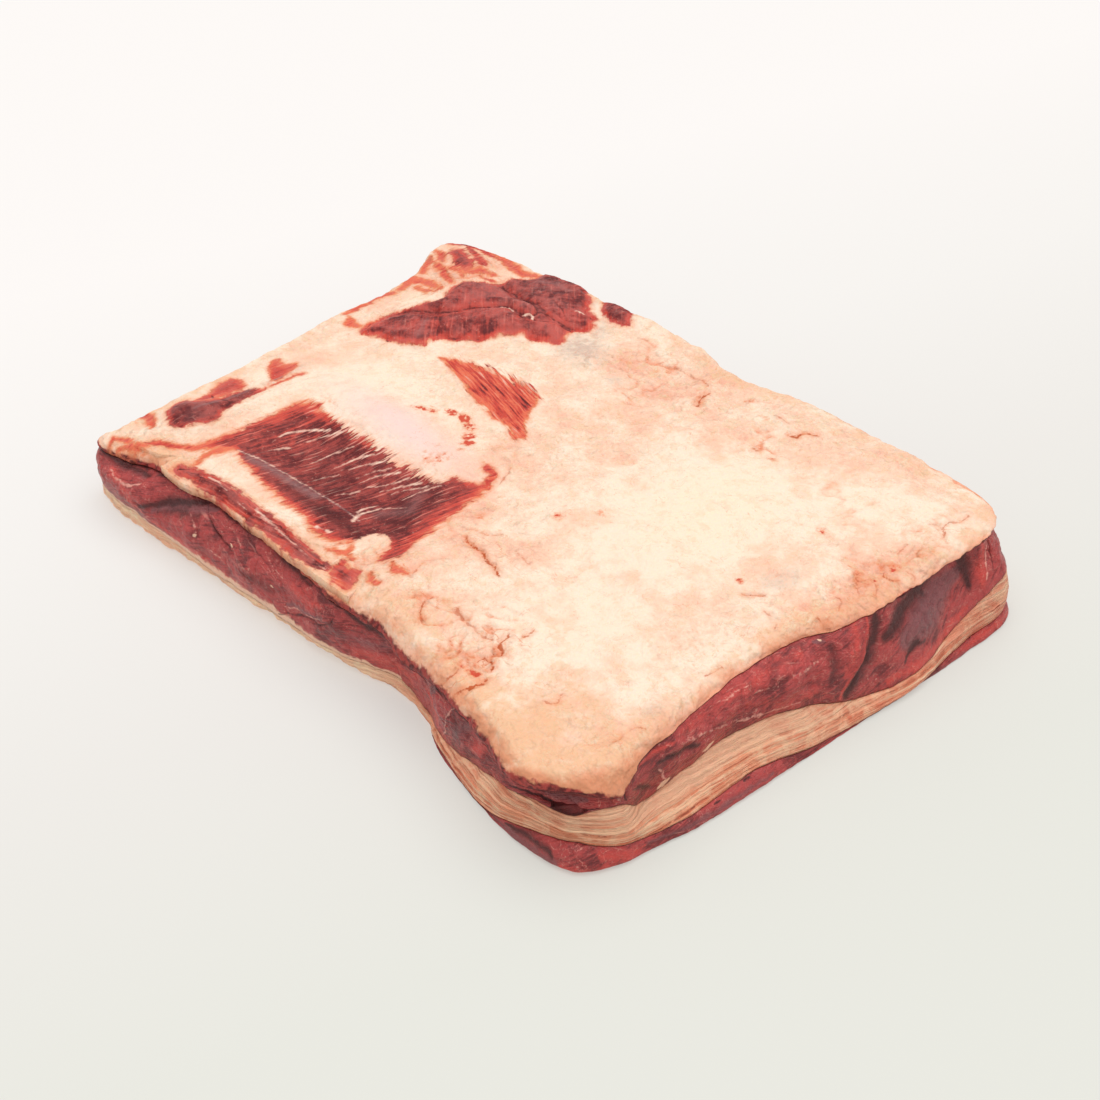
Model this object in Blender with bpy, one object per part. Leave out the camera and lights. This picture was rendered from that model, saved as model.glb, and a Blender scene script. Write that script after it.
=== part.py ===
"""Raw beef brisket: a trimmed slab of layered muscle and fat, lying cap side up.

The slab is built as it is layered. Five lines run round its side: the floor line, the top of the
lower muscle, the top of the seam fat, the top of the upper muscle and the edge of the flat top. Each
line is a plan outline with a height. Between two lines lies one layer, a closed solid whose under
and upper faces fill the two outlines. Lean that shows in the fat cap lies in shallow pockets.
All sizes below are millimetres; MM turns them into metres. +X runs along the slab, +Z is up.
"""
import math

import bpy
import numpy as np

MM = 0.001

# The slab's plan is drawn from a datum; this point of the plan becomes the model's origin.
PLAN_CENTRE = (5.5, 9.0)

LAYER_GAP = 0.35          # clearance between two layers that touch
CELLS_ALONG = 28          # grid cells from the left corner to the front corner
CELLS_ACROSS = 20         # grid cells from the front corner to the right corner
LOWER_START = 20          # grid column where the lower muscle begins, counted from the left
LOWER_END_HEIGHT = 2.5    # thickness of the lower muscle's blunt end

# Top of the slab: a tilted plane with a low crown.
TOP_HEIGHT = 47.5
TOP_RISE_X = 0.026        # it thickens from the left end to the right end
TOP_RISE_Y = 0.012
TOP_CROWN = 2.5
TOP_EDGE_DROP = 1.5
HALF_LENGTH = 200.0
HALF_WIDTH = 146.0

EDGE_SHARE_ALONG = 0.14   # share of the slab over which a layer's edge runs into its inner face
EDGE_SHARE_ACROSS = 0.2

CAP_THICKNESS = 11.5
SEAM_TOP_HEIGHT = 20.0    # inside the slab
SEAM_RISE_X = 0.03
LOWER_TOP_HEIGHT = 11.0   # inside the slab
LOWER_RUN = 4.0           # grid columns over which the lower muscle reaches that height

# Stations round the slab, anticlockwise from above. Each has the plan point of the widest line near
# the floor, then (inset, height) of the lower muscle's, seam fat's and upper muscle's top lines, how
# far the upper muscle swells out between its lines, and the inset of the flat top's edge. A negative
# inset hangs out past the widest line.
STATIONS = (
    (-187, -115, (2, 2), (1, 8), (2, 29), 2, 8),        # left corner
    (-171, -121, (2, 2), (0, 8), (5, 30), 3, 10),
    (-135, -123, (2, 2), (-1, 11), (13, 34), 4, 19),
    (-95, -120.5, (2, 2), (-2, 8), (12, 37), 3, 17),
    (-45, -118.5, (2, 2), (-3, 8), (8, 38), 3, 13),
    (5, -116.5, (2, 2), (-3, 8), (-1, 37), 1, 7),
    (38, -112, (2, 2), (2, 7), (-5, 37), -1, 4),
    (60, -114, (1, 2), (1, 4), (-7, 34), -2, 3),        # waist, under the hanging fat lobe
    (84, -125, (0, 2.5), (2, 8), (2, 36), 1, 9),
    (120, -134, (-1, 2.5), (4, 17), (2, 36), 0, 9),
    (148, -138, (3, 9), (6, 24), (-2, 39), -6, 6),
    (173, -134, (6, 13), (9, 25), (6, 42), -7, 13),     # front corner
    (184, -116, (2, 10), (5, 31), (4, 37), -1, 15),
    (187, -100, (2, 7), (11, 18), (11, 43), 2, 17),
    (192, -77, (3, 6), (16, 18), (17, 44), 2, 23),
    (195.5, -42, (5, 7), (17, 22), (23, 46), 3, 29),
    (198, -8, (1, 3), (11, 19), (23, 47), 3, 29),
    (200, 20, (-1, 2), (5, 11), (16, 46), 1, 22),
    (203, 55, (-2, 2), (0, 9), (13, 47), -3, 19),
    (206, 95, (3, 4), (6, 16), (14, 48), -6, 18),
    (205, 129, (2, 6), (4, 28), (15, 47), -3, 18),      # right corner
    (182, 147, (3, 5), (5, 22), (8, 47), 0, 12),
    (120, 153, (3, 5), (4, 18), (5, 45), 2, 11),
    (55, 152, (3, 5), (4, 16), (5, 42), 2, 10),
    (14, 147, (3, 4), (4, 14), (4, 40), 0, 8),          # notch in the back edge
    (-8, 154, (3, 4), (4, 14), (4, 40), 2, 9),
    (-60, 156, (3, 3), (4, 11), (5, 38), 2, 8),
    (-120, 157, (3, 2), (4, 9), (5, 36), 2, 9),
    (-178, 153, (3, 2), (4, 8), (6, 34), 2, 10),        # back corner
    (-197, 130, (3, 2), (4, 8), (3, 34), 1, 6),
    (-189, 100, (3, 2), (3, 8), (3, 32), 1, 7),
    (-187, 40, (3, 2), (3, 8), (4, 31), 2, 8),
    (-184, -15, (3, 2), (3, 8), (4, 30), 2, 8),
    (-180, -65, (3, 2), (3, 8), (4, 29), 2, 7),
    (-185, -96, (3, 2), (3, 8), (4, 29), 2, 8),
)
CORNERS = (0, 11, 20, 28)  # station numbers of the left, front, right and back corners

SIDE_ROUNDNESS = 0.6       # of the upper muscle's side: 1 a quarter oval, 0 a straight slope
SIDE_FOLD = 0.8            # depth of the folds in that side
SIDE_FOLD_LENGTH = 34.0
SEAM_SWELL = 1.2

# The cap's rounded edge, from its lower line (0) to the flat top (1): rise, reach, and how far it
# stands out.
CAP_EDGE = ((0.10, 0.0, 1.2), (0.40, 0.10, 1.8), (0.72, 0.34, 1.4), (0.93, 0.68, 0.6))

CONTACT_INSET = 2.5        # the underside touches the floor this far in from the widest line
CORNER_SMOOTHING = 15.0    # half the length over which the side's direction is averaged

# Swellings and hollows of the top: plan centre, long and short radius, turn in degrees, height.
TOP_FORMS = (
    (-68, -14, 52, 17, -4, 4.0),       # smooth swelling left by a rib cartilage
    (-62, -62, 60, 24, 3, -2.5),       # shallow trough with the broad lean window
    (-70, -104, 62, 5, 2, 2.5),        # rolled ridge along the front edge
    (-112, 88, 42, 20, 48, 4.5),       # thick lean at the back corner
    (-180, 130, 22, 18, 0, 5.5),       # lump at the back corner
    (-190, -112, 26, 20, 0, -4.5),     # the thin left corner
    (-35, 146, 55, 16, 0, 3.0),
    (165, 146, 45, 22, 0, -3.0),
    (-160, -76, 12, 20, 8, 2.5),       # lean at the left edge
    (-150, 30, 26, 40, 0, -2.0),
    (93, -112, 9, 14, 10, -3.0),       # split in the cap near the front edge
    (30, -100, 34, 16, -10, 2.0),
    (95, 20, 60, 70, 0, 1.5),
    (20, 110, 40, 26, 0, -1.5),
    (150, -80, 30, 40, 20, 1.5),
)
LUMP_SIZE = 46.0           # mean spacing of the low lumps in the fat cap
LUMP_HEIGHT = 0.7

# Lean in the cap: plan points of its near and far long edges, from left to right, and how far it
# stands up from the cap.
LEAN_DEPTH = 5.0
LEAN_EDGE_DROP = 0.6       # its rim lies this far below the cap's surface
POCKET_CLEARANCE = 0.45
LEAN_WINDOWS = {
    "rib_lean": (
        ((-122, -80), (-95, -86), (-60, -91), (-36, -95), (-14, -82), (0, -74)),
        ((-119, -36), (-95, -34), (-60, -35), (-30, -36), (-14, -27), (1, -26)),
        0.4,
    ),
    "wedge_lean": (
        ((-156, 43), (-138, 45), (-124, 52), (-112, 70), (-94, 90), (-77, 106), (-71, 122)),
        ((-153, 52), (-151, 72), (-147, 92), (-143, 112), (-134, 128), (-112, 139), (-78, 139)),
        1.6,
    ),
    "triangle_lean": (
        ((-94, 44), (-76, 38), (-56, 32), (-37, 27), (-22, 22)),
        ((-92, 46), (-75, 50), (-55, 54), (-37, 52), (-22, 26)),
        0.3,
    ),
    "edge_lean": (
        ((-169, -84), (-163, -87), (-155, -84), (-147, -76)),
        ((-162, -46), (-158, -44), (-154, -44), (-150, -47)),
        1.0,
    ),
    "strip_lean": (
        ((-118, -109), (-90, -106.5), (-60, -106), (-30, -109.5), (-8, -110.5)),
        ((-116, -105), (-90, -101.5), (-60, -100.5), (-30, -103.5), (-8, -105)),
        0.5,
    ),
}
WINDOW_CELLS = {
    "rib_lean": (14, 7),
    "wedge_lean": (14, 7),
    "triangle_lean": (9, 4),
    "edge_lean": (4, 5),
    "strip_lean": (12, 2),
}

# Finishes: base colour (linear), roughness.
FINISHES = {
    "lower_muscle": ((0.19, 0.030, 0.028), 0.42),
    "seam_fat": ((0.71, 0.42, 0.27), 0.50),
    "upper_muscle": ((0.16, 0.022, 0.022), 0.40),
    "fat_cap": ((0.84, 0.63, 0.46), 0.50),
    "rib_lean": ((0.22, 0.028, 0.026), 0.40),
    "wedge_lean": ((0.25, 0.032, 0.028), 0.42),
    "triangle_lean": ((0.56, 0.090, 0.050), 0.45),
    "edge_lean": ((0.22, 0.030, 0.028), 0.42),
    "strip_lean": ((0.38, 0.055, 0.040), 0.42),
}


def station_table():
    """Stations as rows: x, y, inset and height of three lines, the swell, the top edge's inset."""
    return np.array([(x, y, *lower, *seam, *upper, *rest) for x, y, lower, seam, upper, *rest in STATIONS])


def loop_lengths(table):
    """Distance round the widest line at each station, with the full length at the end."""
    steps = np.linalg.norm(np.roll(table[:, :2], -1, axis=0) - table[:, :2], axis=1)
    return steps, np.concatenate([[0.0], np.cumsum(steps)])


def along_loop(distance):
    """Station values at distances round the loop, by a closed cubic with averaged slopes."""
    table = station_table()
    steps, marks = loop_lengths(table)
    steps_before = np.roll(steps, 1)
    slope_after = (np.roll(table, -1, axis=0) - table) / steps[:, None]
    slope_before = np.roll(slope_after, 1, axis=0)
    weight = (steps / (steps + steps_before))[:, None]
    slope = slope_before * weight + slope_after * (1.0 - weight)
    distance = np.mod(distance, marks[-1])
    low = np.clip(np.searchsorted(marks, distance, side="right") - 1, 0, len(table) - 1)
    high = (low + 1) % len(table)
    length = steps[low][:, None]
    t = (distance - marks[low])[:, None] / length
    return (
        (2 * t**3 - 3 * t**2 + 1) * table[low]
        + (t**3 - 2 * t**2 + t) * length * slope[low]
        + (3 * t**2 - 2 * t**3) * table[high]
        + (t**3 - t**2) * length * slope[high]
    )


class Outline:
    """Points round the slab, one for each grid line that meets the edge, with their station values."""

    def __init__(self):
        marks = loop_lengths(station_table())[1]
        ends = [marks[corner] for corner in CORNERS] + [marks[-1]]
        counts = (CELLS_ALONG, CELLS_ACROSS, CELLS_ALONG, CELLS_ACROSS)
        sides = [
            np.linspace(start, stop, count, endpoint=False)
            for start, stop, count in zip(ends[:-1], ends[1:], counts)
        ]
        distance = np.concatenate(sides)
        values = along_loop(distance)
        self.base = values[:, :2]
        ahead = along_loop(distance + CORNER_SMOOTHING)[:, :2]
        behind = along_loop(distance - CORNER_SMOOTHING)[:, :2]
        tangent = ahead - behind
        tangent /= np.linalg.norm(tangent, axis=1)[:, None]
        self.inward = np.stack([-tangent[:, 1], tangent[:, 0]], axis=1)
        self.lower = values[:, 2:4]
        self.seam = values[:, 4:6]
        self.upper = values[:, 6:8]
        self.swell = values[:, 8]
        self.top_inset = values[:, 9]

    def line(self, inset, height):
        """Points of a line round the side, from its inset and its height at each grid line."""
        plan = self.base + self.inward * np.asarray(inset)[:, None]
        return np.column_stack([plan, np.broadcast_to(height, len(plan))])


def smooth_step(value):
    value = np.clip(value, 0.0, 1.0)
    return value * value * (3.0 - 2.0 * value)


def swelling(x, y, centre_x, centre_y, radius_long, radius_short, turn, height):
    """A smooth oval hill or hollow: height * exp(-(distance in radii)^2)."""
    angle = math.radians(turn)
    along = (x - centre_x) * math.cos(angle) + (y - centre_y) * math.sin(angle)
    across = (y - centre_y) * math.cos(angle) - (x - centre_x) * math.sin(angle)
    return height * np.exp(-((along / radius_long) ** 2) - (across / radius_short) ** 2)


def lumps(x, y, spacing, seed, waves=7):
    """Uneven ground about zero: a sum of seeded plane waves of about one spacing."""
    rng = np.random.default_rng(seed)
    total = np.zeros_like(x, dtype=float)
    for _ in range(waves):
        heading = rng.uniform(0.0, math.pi)
        wave = 2.0 * math.pi / (spacing * rng.uniform(0.7, 1.5))
        phase = rng.uniform(0.0, 2.0 * math.pi)
        total += np.sin((x * math.cos(heading) + y * math.sin(heading)) * wave + phase)
    return total / math.sqrt(waves / 2.0)


def top_plane(x, y):
    """Height of the slab's top without its forms."""
    crown = TOP_CROWN * np.clip(1 - (x / HALF_LENGTH) ** 2, 0, 1) * np.clip(1 - (y / HALF_WIDTH) ** 2, 0, 1)
    return TOP_HEIGHT + TOP_RISE_X * x + TOP_RISE_Y * y + crown


def top_height(x, y):
    """Height of the fat cap's upper face."""
    height = top_plane(x, y) + LUMP_HEIGHT * lumps(x, y, LUMP_SIZE, seed=4)
    for form in TOP_FORMS:
        height = height + swelling(x, y, *form)
    return height


def fill_outline(points):
    """Spread a closed line over the grid: blended rows and columns less the blended corners."""
    nu, nv = CELLS_ALONG, CELLS_ACROSS
    loop = np.vstack([points, points[:1]])
    front = loop[: nu + 1]
    right = loop[nu : nu + nv + 1]
    back = loop[nu + nv : 2 * nu + nv + 1][::-1]
    left = loop[2 * nu + nv :][::-1]
    u = np.linspace(0, 1, nu + 1)[:, None, None]
    v = np.linspace(0, 1, nv + 1)[None, :, None]
    rows = (1 - v) * front[:, None] + v * back[:, None]
    columns = (1 - u) * left[None] + u * right[None]
    corners = (1 - u) * ((1 - v) * front[0] + v * back[0]) + u * ((1 - v) * front[-1] + v * back[-1])
    return rows + columns - corners


def inside_weight():
    """0 on the grid's edge, rising to 1 inside."""
    u = np.linspace(0, 1, CELLS_ALONG + 1)[:, None]
    v = np.linspace(0, 1, CELLS_ACROSS + 1)[None, :]
    along = np.minimum(1.0, np.minimum(u, 1 - u) / EDGE_SHARE_ALONG)
    across = np.minimum(1.0, np.minimum(v, 1 - v) / EDGE_SHARE_ACROSS)
    return smooth_step(along * across)


def grid_edge(grid):
    """The points of a grid's edge, anticlockwise from its first corner."""
    return np.vstack([grid[:, 0], grid[-1, 1:], grid[-2::-1, -1], grid[0, -2:0:-1]])


def layer_mesh(name, under, upper, rings):
    """A closed layer: an under face, rings of points up its side, and an upper face."""
    columns, rows = under.shape[:2]
    edge = grid_edge(np.arange(columns * rows).reshape(columns, rows, 1))[:, 0]
    around = len(edge)
    face_points = columns * rows
    points = np.vstack([under.reshape(-1, 3), upper.reshape(-1, 3), *rings])
    number = np.arange(face_points).reshape(columns, rows)
    a, b, c, d = number[:-1, :-1], number[1:, :-1], number[1:, 1:], number[:-1, 1:]
    halves = [np.stack(half, -1).reshape(-1, 3) for half in ((a, b, c), (a, c, d))]
    upward = np.concatenate(halves)
    triangles = [upward[:, ::-1], upward + face_points]
    levels = [edge]
    levels += [2 * face_points + around * step + np.arange(around) for step in range(len(rings))]
    levels += [edge + face_points]
    for low, high in zip(levels[:-1], levels[1:]):
        low_next = np.roll(low, -1)
        high_next = np.roll(high, -1)
        triangles += [np.stack([low, low_next, high_next], -1), np.stack([low, high_next, high], -1)]
    faces = np.concatenate(triangles)
    return add_piece(name, points, faces)


def add_piece(name, points, faces):
    """A named object with its finish, from plan points in millimetres and triangles."""
    placed = (points - np.array([*PLAN_CENTRE, 0.0])) * MM
    mesh = bpy.data.meshes.new(name)
    mesh.from_pydata(placed.tolist(), [], faces.tolist())
    mesh.shade_smooth()
    piece = bpy.data.objects.new(name, mesh)
    bpy.context.scene.collection.objects.link(piece)
    if name in FINISHES:
        mesh.materials.append(finish(name))
    return piece


def finish(name):
    colour, roughness = FINISHES[name]
    material = bpy.data.materials.new(name)
    material.use_nodes = True
    shader = material.node_tree.nodes["Principled BSDF"]
    shader.inputs["Base Color"].default_value = (*colour, 1.0)
    shader.inputs["Roughness"].default_value = roughness
    shader.inputs["Metallic"].default_value = 0.0
    return material


def lifted(points, amount):
    raised = points.copy()
    raised[..., 2] += amount
    return raised


def slab_lines(outline):
    """The five lines round the side, each a ring of points."""
    floor = outline.line(np.full(len(outline.base), CONTACT_INSET), 0.0)
    lower = outline.line(*outline.lower.T)
    seam = outline.line(*outline.seam.T)
    upper = outline.line(*outline.upper.T)
    top = outline.line(outline.top_inset, 0.0)
    top[:, 2] = top_height(top[:, 0], top[:, 1]) - TOP_EDGE_DROP
    return floor, lower, seam, upper, top


def inner_face(line, height):
    """A boundary between layers: the line's own heights at the edge, the given ones inside."""
    face = fill_outline(line)
    face[..., 2] += (height(face[..., 0], face[..., 1]) - face[..., 2]) * inside_weight()
    return face


def edge_numbers():
    """The number of each grid point round the outline, or -1 inside."""
    shape = (CELLS_ALONG + 1, CELLS_ACROSS + 1)
    cells = np.arange(shape[0] * shape[1]).reshape(shape)
    around = grid_edge(cells[..., None])[:, 0]
    numbers = np.full(cells.size, -1)
    numbers[around] = np.arange(len(around))
    return numbers.reshape(shape)


def lower_muscle_below():
    """For each point round the outline, whether the lower muscle lies under it."""
    column = np.repeat(np.arange(CELLS_ALONG + 1)[:, None], CELLS_ACROSS + 1, axis=1)
    return grid_edge(column[..., None])[:, 0] >= LOWER_START


def seam_under_face(floor, lower):
    """Underside of the seam fat: on the floor at the left, on the lower muscle at the right."""
    line = np.where(lower_muscle_below()[:, None], lower, floor)
    face = fill_outline(line)
    column = np.arange(CELLS_ALONG + 1)[:, None]
    run = smooth_step((column - LOWER_START) / LOWER_RUN)
    inside = LOWER_END_HEIGHT + (LOWER_TOP_HEIGHT - LOWER_END_HEIGHT) * run
    face[..., 2] += (inside - face[..., 2]) * inside_weight()
    face[:LOWER_START, :, 2] = 0.0
    return face, line


def make_lower_muscle(outline, floor, seam_under):
    """The muscle under the slab's right part: flat on the floor, blunt at its left end."""
    upper = lifted(seam_under[LOWER_START:], -LAYER_GAP)
    under = fill_outline(floor)[LOWER_START:]
    under[0, 1:-1, :2] = upper[0, 1:-1, :2]
    under[..., 2] = 0.0
    inset, height = outline.lower.T
    low, high = grid_edge(under), grid_edge(upper)
    number = grid_edge(edge_numbers()[LOWER_START:, :, None])[:, 0]
    rings = []
    for share, lean_back in ((0.14, 0.0), (0.45, 0.1), (0.8, 0.5)):
        side = outline.line(inset * lean_back, height * share)
        ring = low + (high - low) * share
        ring[number >= 0] = side[number[number >= 0]]
        rings.append(ring)
    return layer_mesh("lower_muscle", under, upper, rings)


def make_seam_fat(outline, under, line, seam_upper, seam_line):
    """The layer of fat between the muscles. At the left it is the lowest layer."""
    below = lower_muscle_below()[:, None]
    outward = np.column_stack([-outline.inward, np.zeros(len(outline.inward))])
    inset, height = outline.seam.T
    rings = []
    for share, lean_back in ((0.22, 0.0), (0.7, 0.7)):
        on_floor = outline.line(inset * lean_back, height * share)
        on_muscle = line + (seam_line - line) * share + outward * SEAM_SWELL
        rings.append(np.where(below, on_muscle, on_floor))
    return layer_mesh("seam_fat", under, lifted(seam_upper, -LAYER_GAP), rings)


def make_upper_muscle(outline, under, upper, seam_line, upper_line):
    """The thick muscle under the fat cap. Its side swells out, or is hollow at two corners."""
    outward = np.column_stack([-outline.inward, np.zeros(len(outline.inward))])
    rings = []
    for share in (0.2, 0.4, 0.6, 0.8):
        rise = (1 - SIDE_ROUNDNESS) * share + SIDE_ROUNDNESS * math.sin(share * math.pi / 2)
        reach = (1 - SIDE_ROUNDNESS) * share + SIDE_ROUNDNESS * (1 - math.cos(share * math.pi / 2))
        ring = seam_line + (upper_line - seam_line) * np.array([reach, reach, rise])
        fold = SIDE_FOLD * lumps(ring[:, 0] + ring[:, 1], ring[:, 2], SIDE_FOLD_LENGTH, seed=9)
        swell = (outline.swell + fold) * math.sin(math.pi * share)
        rings.append(ring + outward * swell[:, None])
    return layer_mesh("upper_muscle", under, lifted(upper, -LAYER_GAP), rings)


def make_fat_cap(outline, under, upper_line, top_line):
    """The fat on top, with a rounded edge that hangs a little over the muscle's side."""
    top = fill_outline(top_line)
    height = top_height(top[..., 0], top[..., 1])
    top[..., 2] = height - TOP_EDGE_DROP * (1 - inside_weight())
    outward = np.column_stack([-outline.inward, np.zeros(len(outline.inward))])
    rings = []
    for rise, reach, lip in CAP_EDGE:
        ring = upper_line + (top_line - upper_line) * np.array([reach, reach, rise])
        rings.append(ring + outward * lip)
    return layer_mesh("fat_cap", under, top, rings)


def through_points(points, count):
    """A smooth open curve through plan points: a cubic with averaged slopes."""
    points = np.array(points, dtype=float)
    marks = np.concatenate([[0.0], np.cumsum(np.linalg.norm(np.diff(points, axis=0), axis=1))])
    slope = np.gradient(points, marks, axis=0)
    where = np.linspace(0.0, marks[-1], count)
    low = np.clip(np.searchsorted(marks, where, side="right") - 1, 0, len(points) - 2)
    length = (marks[low + 1] - marks[low])[:, None]
    t = (where - marks[low])[:, None] / length
    return (
        (2 * t**3 - 3 * t**2 + 1) * points[low]
        + (t**3 - 2 * t**2 + t) * length * slope[low]
        + (3 * t**2 - 2 * t**3) * points[low + 1]
        + (t**3 - t**2) * length * slope[low + 1]
    )


def window_grid(name):
    """A plan grid between a lean window's near and far edges."""
    near, far, _ = LEAN_WINDOWS[name]
    along, across = WINDOW_CELLS[name]
    near_edge = through_points(near, along + 1)
    far_edge = through_points(far, along + 1)
    v = np.linspace(0, 1, across + 1)[None, :, None]
    return (1 - v) * near_edge[:, None] + v * far_edge[:, None]


def widened(grid, amount):
    """The same plan grid with its edge moved out by an amount."""
    loop = grid_edge(grid)
    before = loop - np.roll(loop, 1, axis=0)
    after = np.roll(loop, -1, axis=0) - loop
    normals = [np.column_stack([side[:, 1], -side[:, 0]]) for side in (before, after)]
    normals = [normal / np.linalg.norm(normal, axis=1)[:, None] for normal in normals]
    mitre = normals[0] + normals[1]
    mitre /= 1.0 + np.sum(normals[0] * normals[1], axis=1)[:, None]
    wide = grid.reshape(-1, 2).copy()
    cells = np.arange(len(wide)).reshape(*grid.shape[:2], 1)
    wide[grid_edge(cells)[:, 0]] = loop + amount * mitre
    return wide.reshape(grid.shape)


def with_height(plan, height):
    return np.concatenate([plan, height[..., None]], axis=-1)


def make_lean_window(name, cap):
    """Lean that shows in the cap, and the pocket cut for it."""
    crown = LEAN_WINDOWS[name][2]
    plan = window_grid(name)
    along, across = (np.linspace(-1, 1, count) for count in plan.shape[:2])
    dome = np.sqrt(np.outer(1 - along**4, 1 - across**4))
    surface = top_height(plan[..., 0], plan[..., 1])
    upper = with_height(plan, surface - LEAN_EDGE_DROP + (crown + LEAN_EDGE_DROP) * dome)
    under = with_height(plan, surface - LEAN_DEPTH)
    layer_mesh(name, under, upper, [])
    wide = widened(plan, POCKET_CLEARANCE)
    floor = with_height(wide, surface - LEAN_DEPTH - LAYER_GAP)
    roof = with_height(wide, surface + LEAN_DEPTH)
    cutter = layer_mesh("pocket_" + name, floor, roof, [])
    cutter.hide_render = True
    cutter.display_type = "WIRE"
    cut = cap.modifiers.new("pocket " + name, "BOOLEAN")
    cut.operation = "DIFFERENCE"
    cut.object = cutter


def main():
    for old in list(bpy.data.objects):
        bpy.data.objects.remove(old)
    outline = Outline()
    floor, lower_line, seam_line, upper_line, top_line = slab_lines(outline)
    seam_under, seam_under_line = seam_under_face(floor, lower_line)
    muscle_under = inner_face(seam_line, lambda x, y: SEAM_TOP_HEIGHT + SEAM_RISE_X * x)
    cap_under = inner_face(upper_line, lambda x, y: top_plane(x, y) - CAP_THICKNESS)
    make_lower_muscle(outline, floor, seam_under)
    make_seam_fat(outline, seam_under, seam_under_line, muscle_under, seam_line)
    make_upper_muscle(outline, muscle_under, cap_under, seam_line, upper_line)
    cap = make_fat_cap(outline, cap_under, upper_line, top_line)
    for name in LEAN_WINDOWS:
        make_lean_window(name, cap)


main()
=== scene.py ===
import itertools
import math

import bpy
import numpy as np
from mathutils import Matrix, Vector


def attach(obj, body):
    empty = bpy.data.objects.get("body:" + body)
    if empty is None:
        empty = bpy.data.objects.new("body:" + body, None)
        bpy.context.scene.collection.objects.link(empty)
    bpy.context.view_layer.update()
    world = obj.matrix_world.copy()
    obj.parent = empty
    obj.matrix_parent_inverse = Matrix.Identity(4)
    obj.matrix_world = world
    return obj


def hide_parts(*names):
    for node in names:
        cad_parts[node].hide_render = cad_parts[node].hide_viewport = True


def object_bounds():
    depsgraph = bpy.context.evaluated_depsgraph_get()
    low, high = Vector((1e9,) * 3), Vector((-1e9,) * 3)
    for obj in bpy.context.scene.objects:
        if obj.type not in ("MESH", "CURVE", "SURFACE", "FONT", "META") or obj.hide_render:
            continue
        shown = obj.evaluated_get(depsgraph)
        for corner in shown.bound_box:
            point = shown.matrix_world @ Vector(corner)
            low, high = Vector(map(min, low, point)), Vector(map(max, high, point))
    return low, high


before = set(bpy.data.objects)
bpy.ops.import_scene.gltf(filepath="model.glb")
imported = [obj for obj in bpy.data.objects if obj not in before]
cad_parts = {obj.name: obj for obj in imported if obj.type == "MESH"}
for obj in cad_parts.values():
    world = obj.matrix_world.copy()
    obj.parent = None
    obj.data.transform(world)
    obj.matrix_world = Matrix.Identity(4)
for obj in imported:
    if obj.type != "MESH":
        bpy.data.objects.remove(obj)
cadLow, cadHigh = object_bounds()

# All shapes are worked out in millimetres from the slab's datum, and placed in metres.
mm = 0.001

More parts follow.
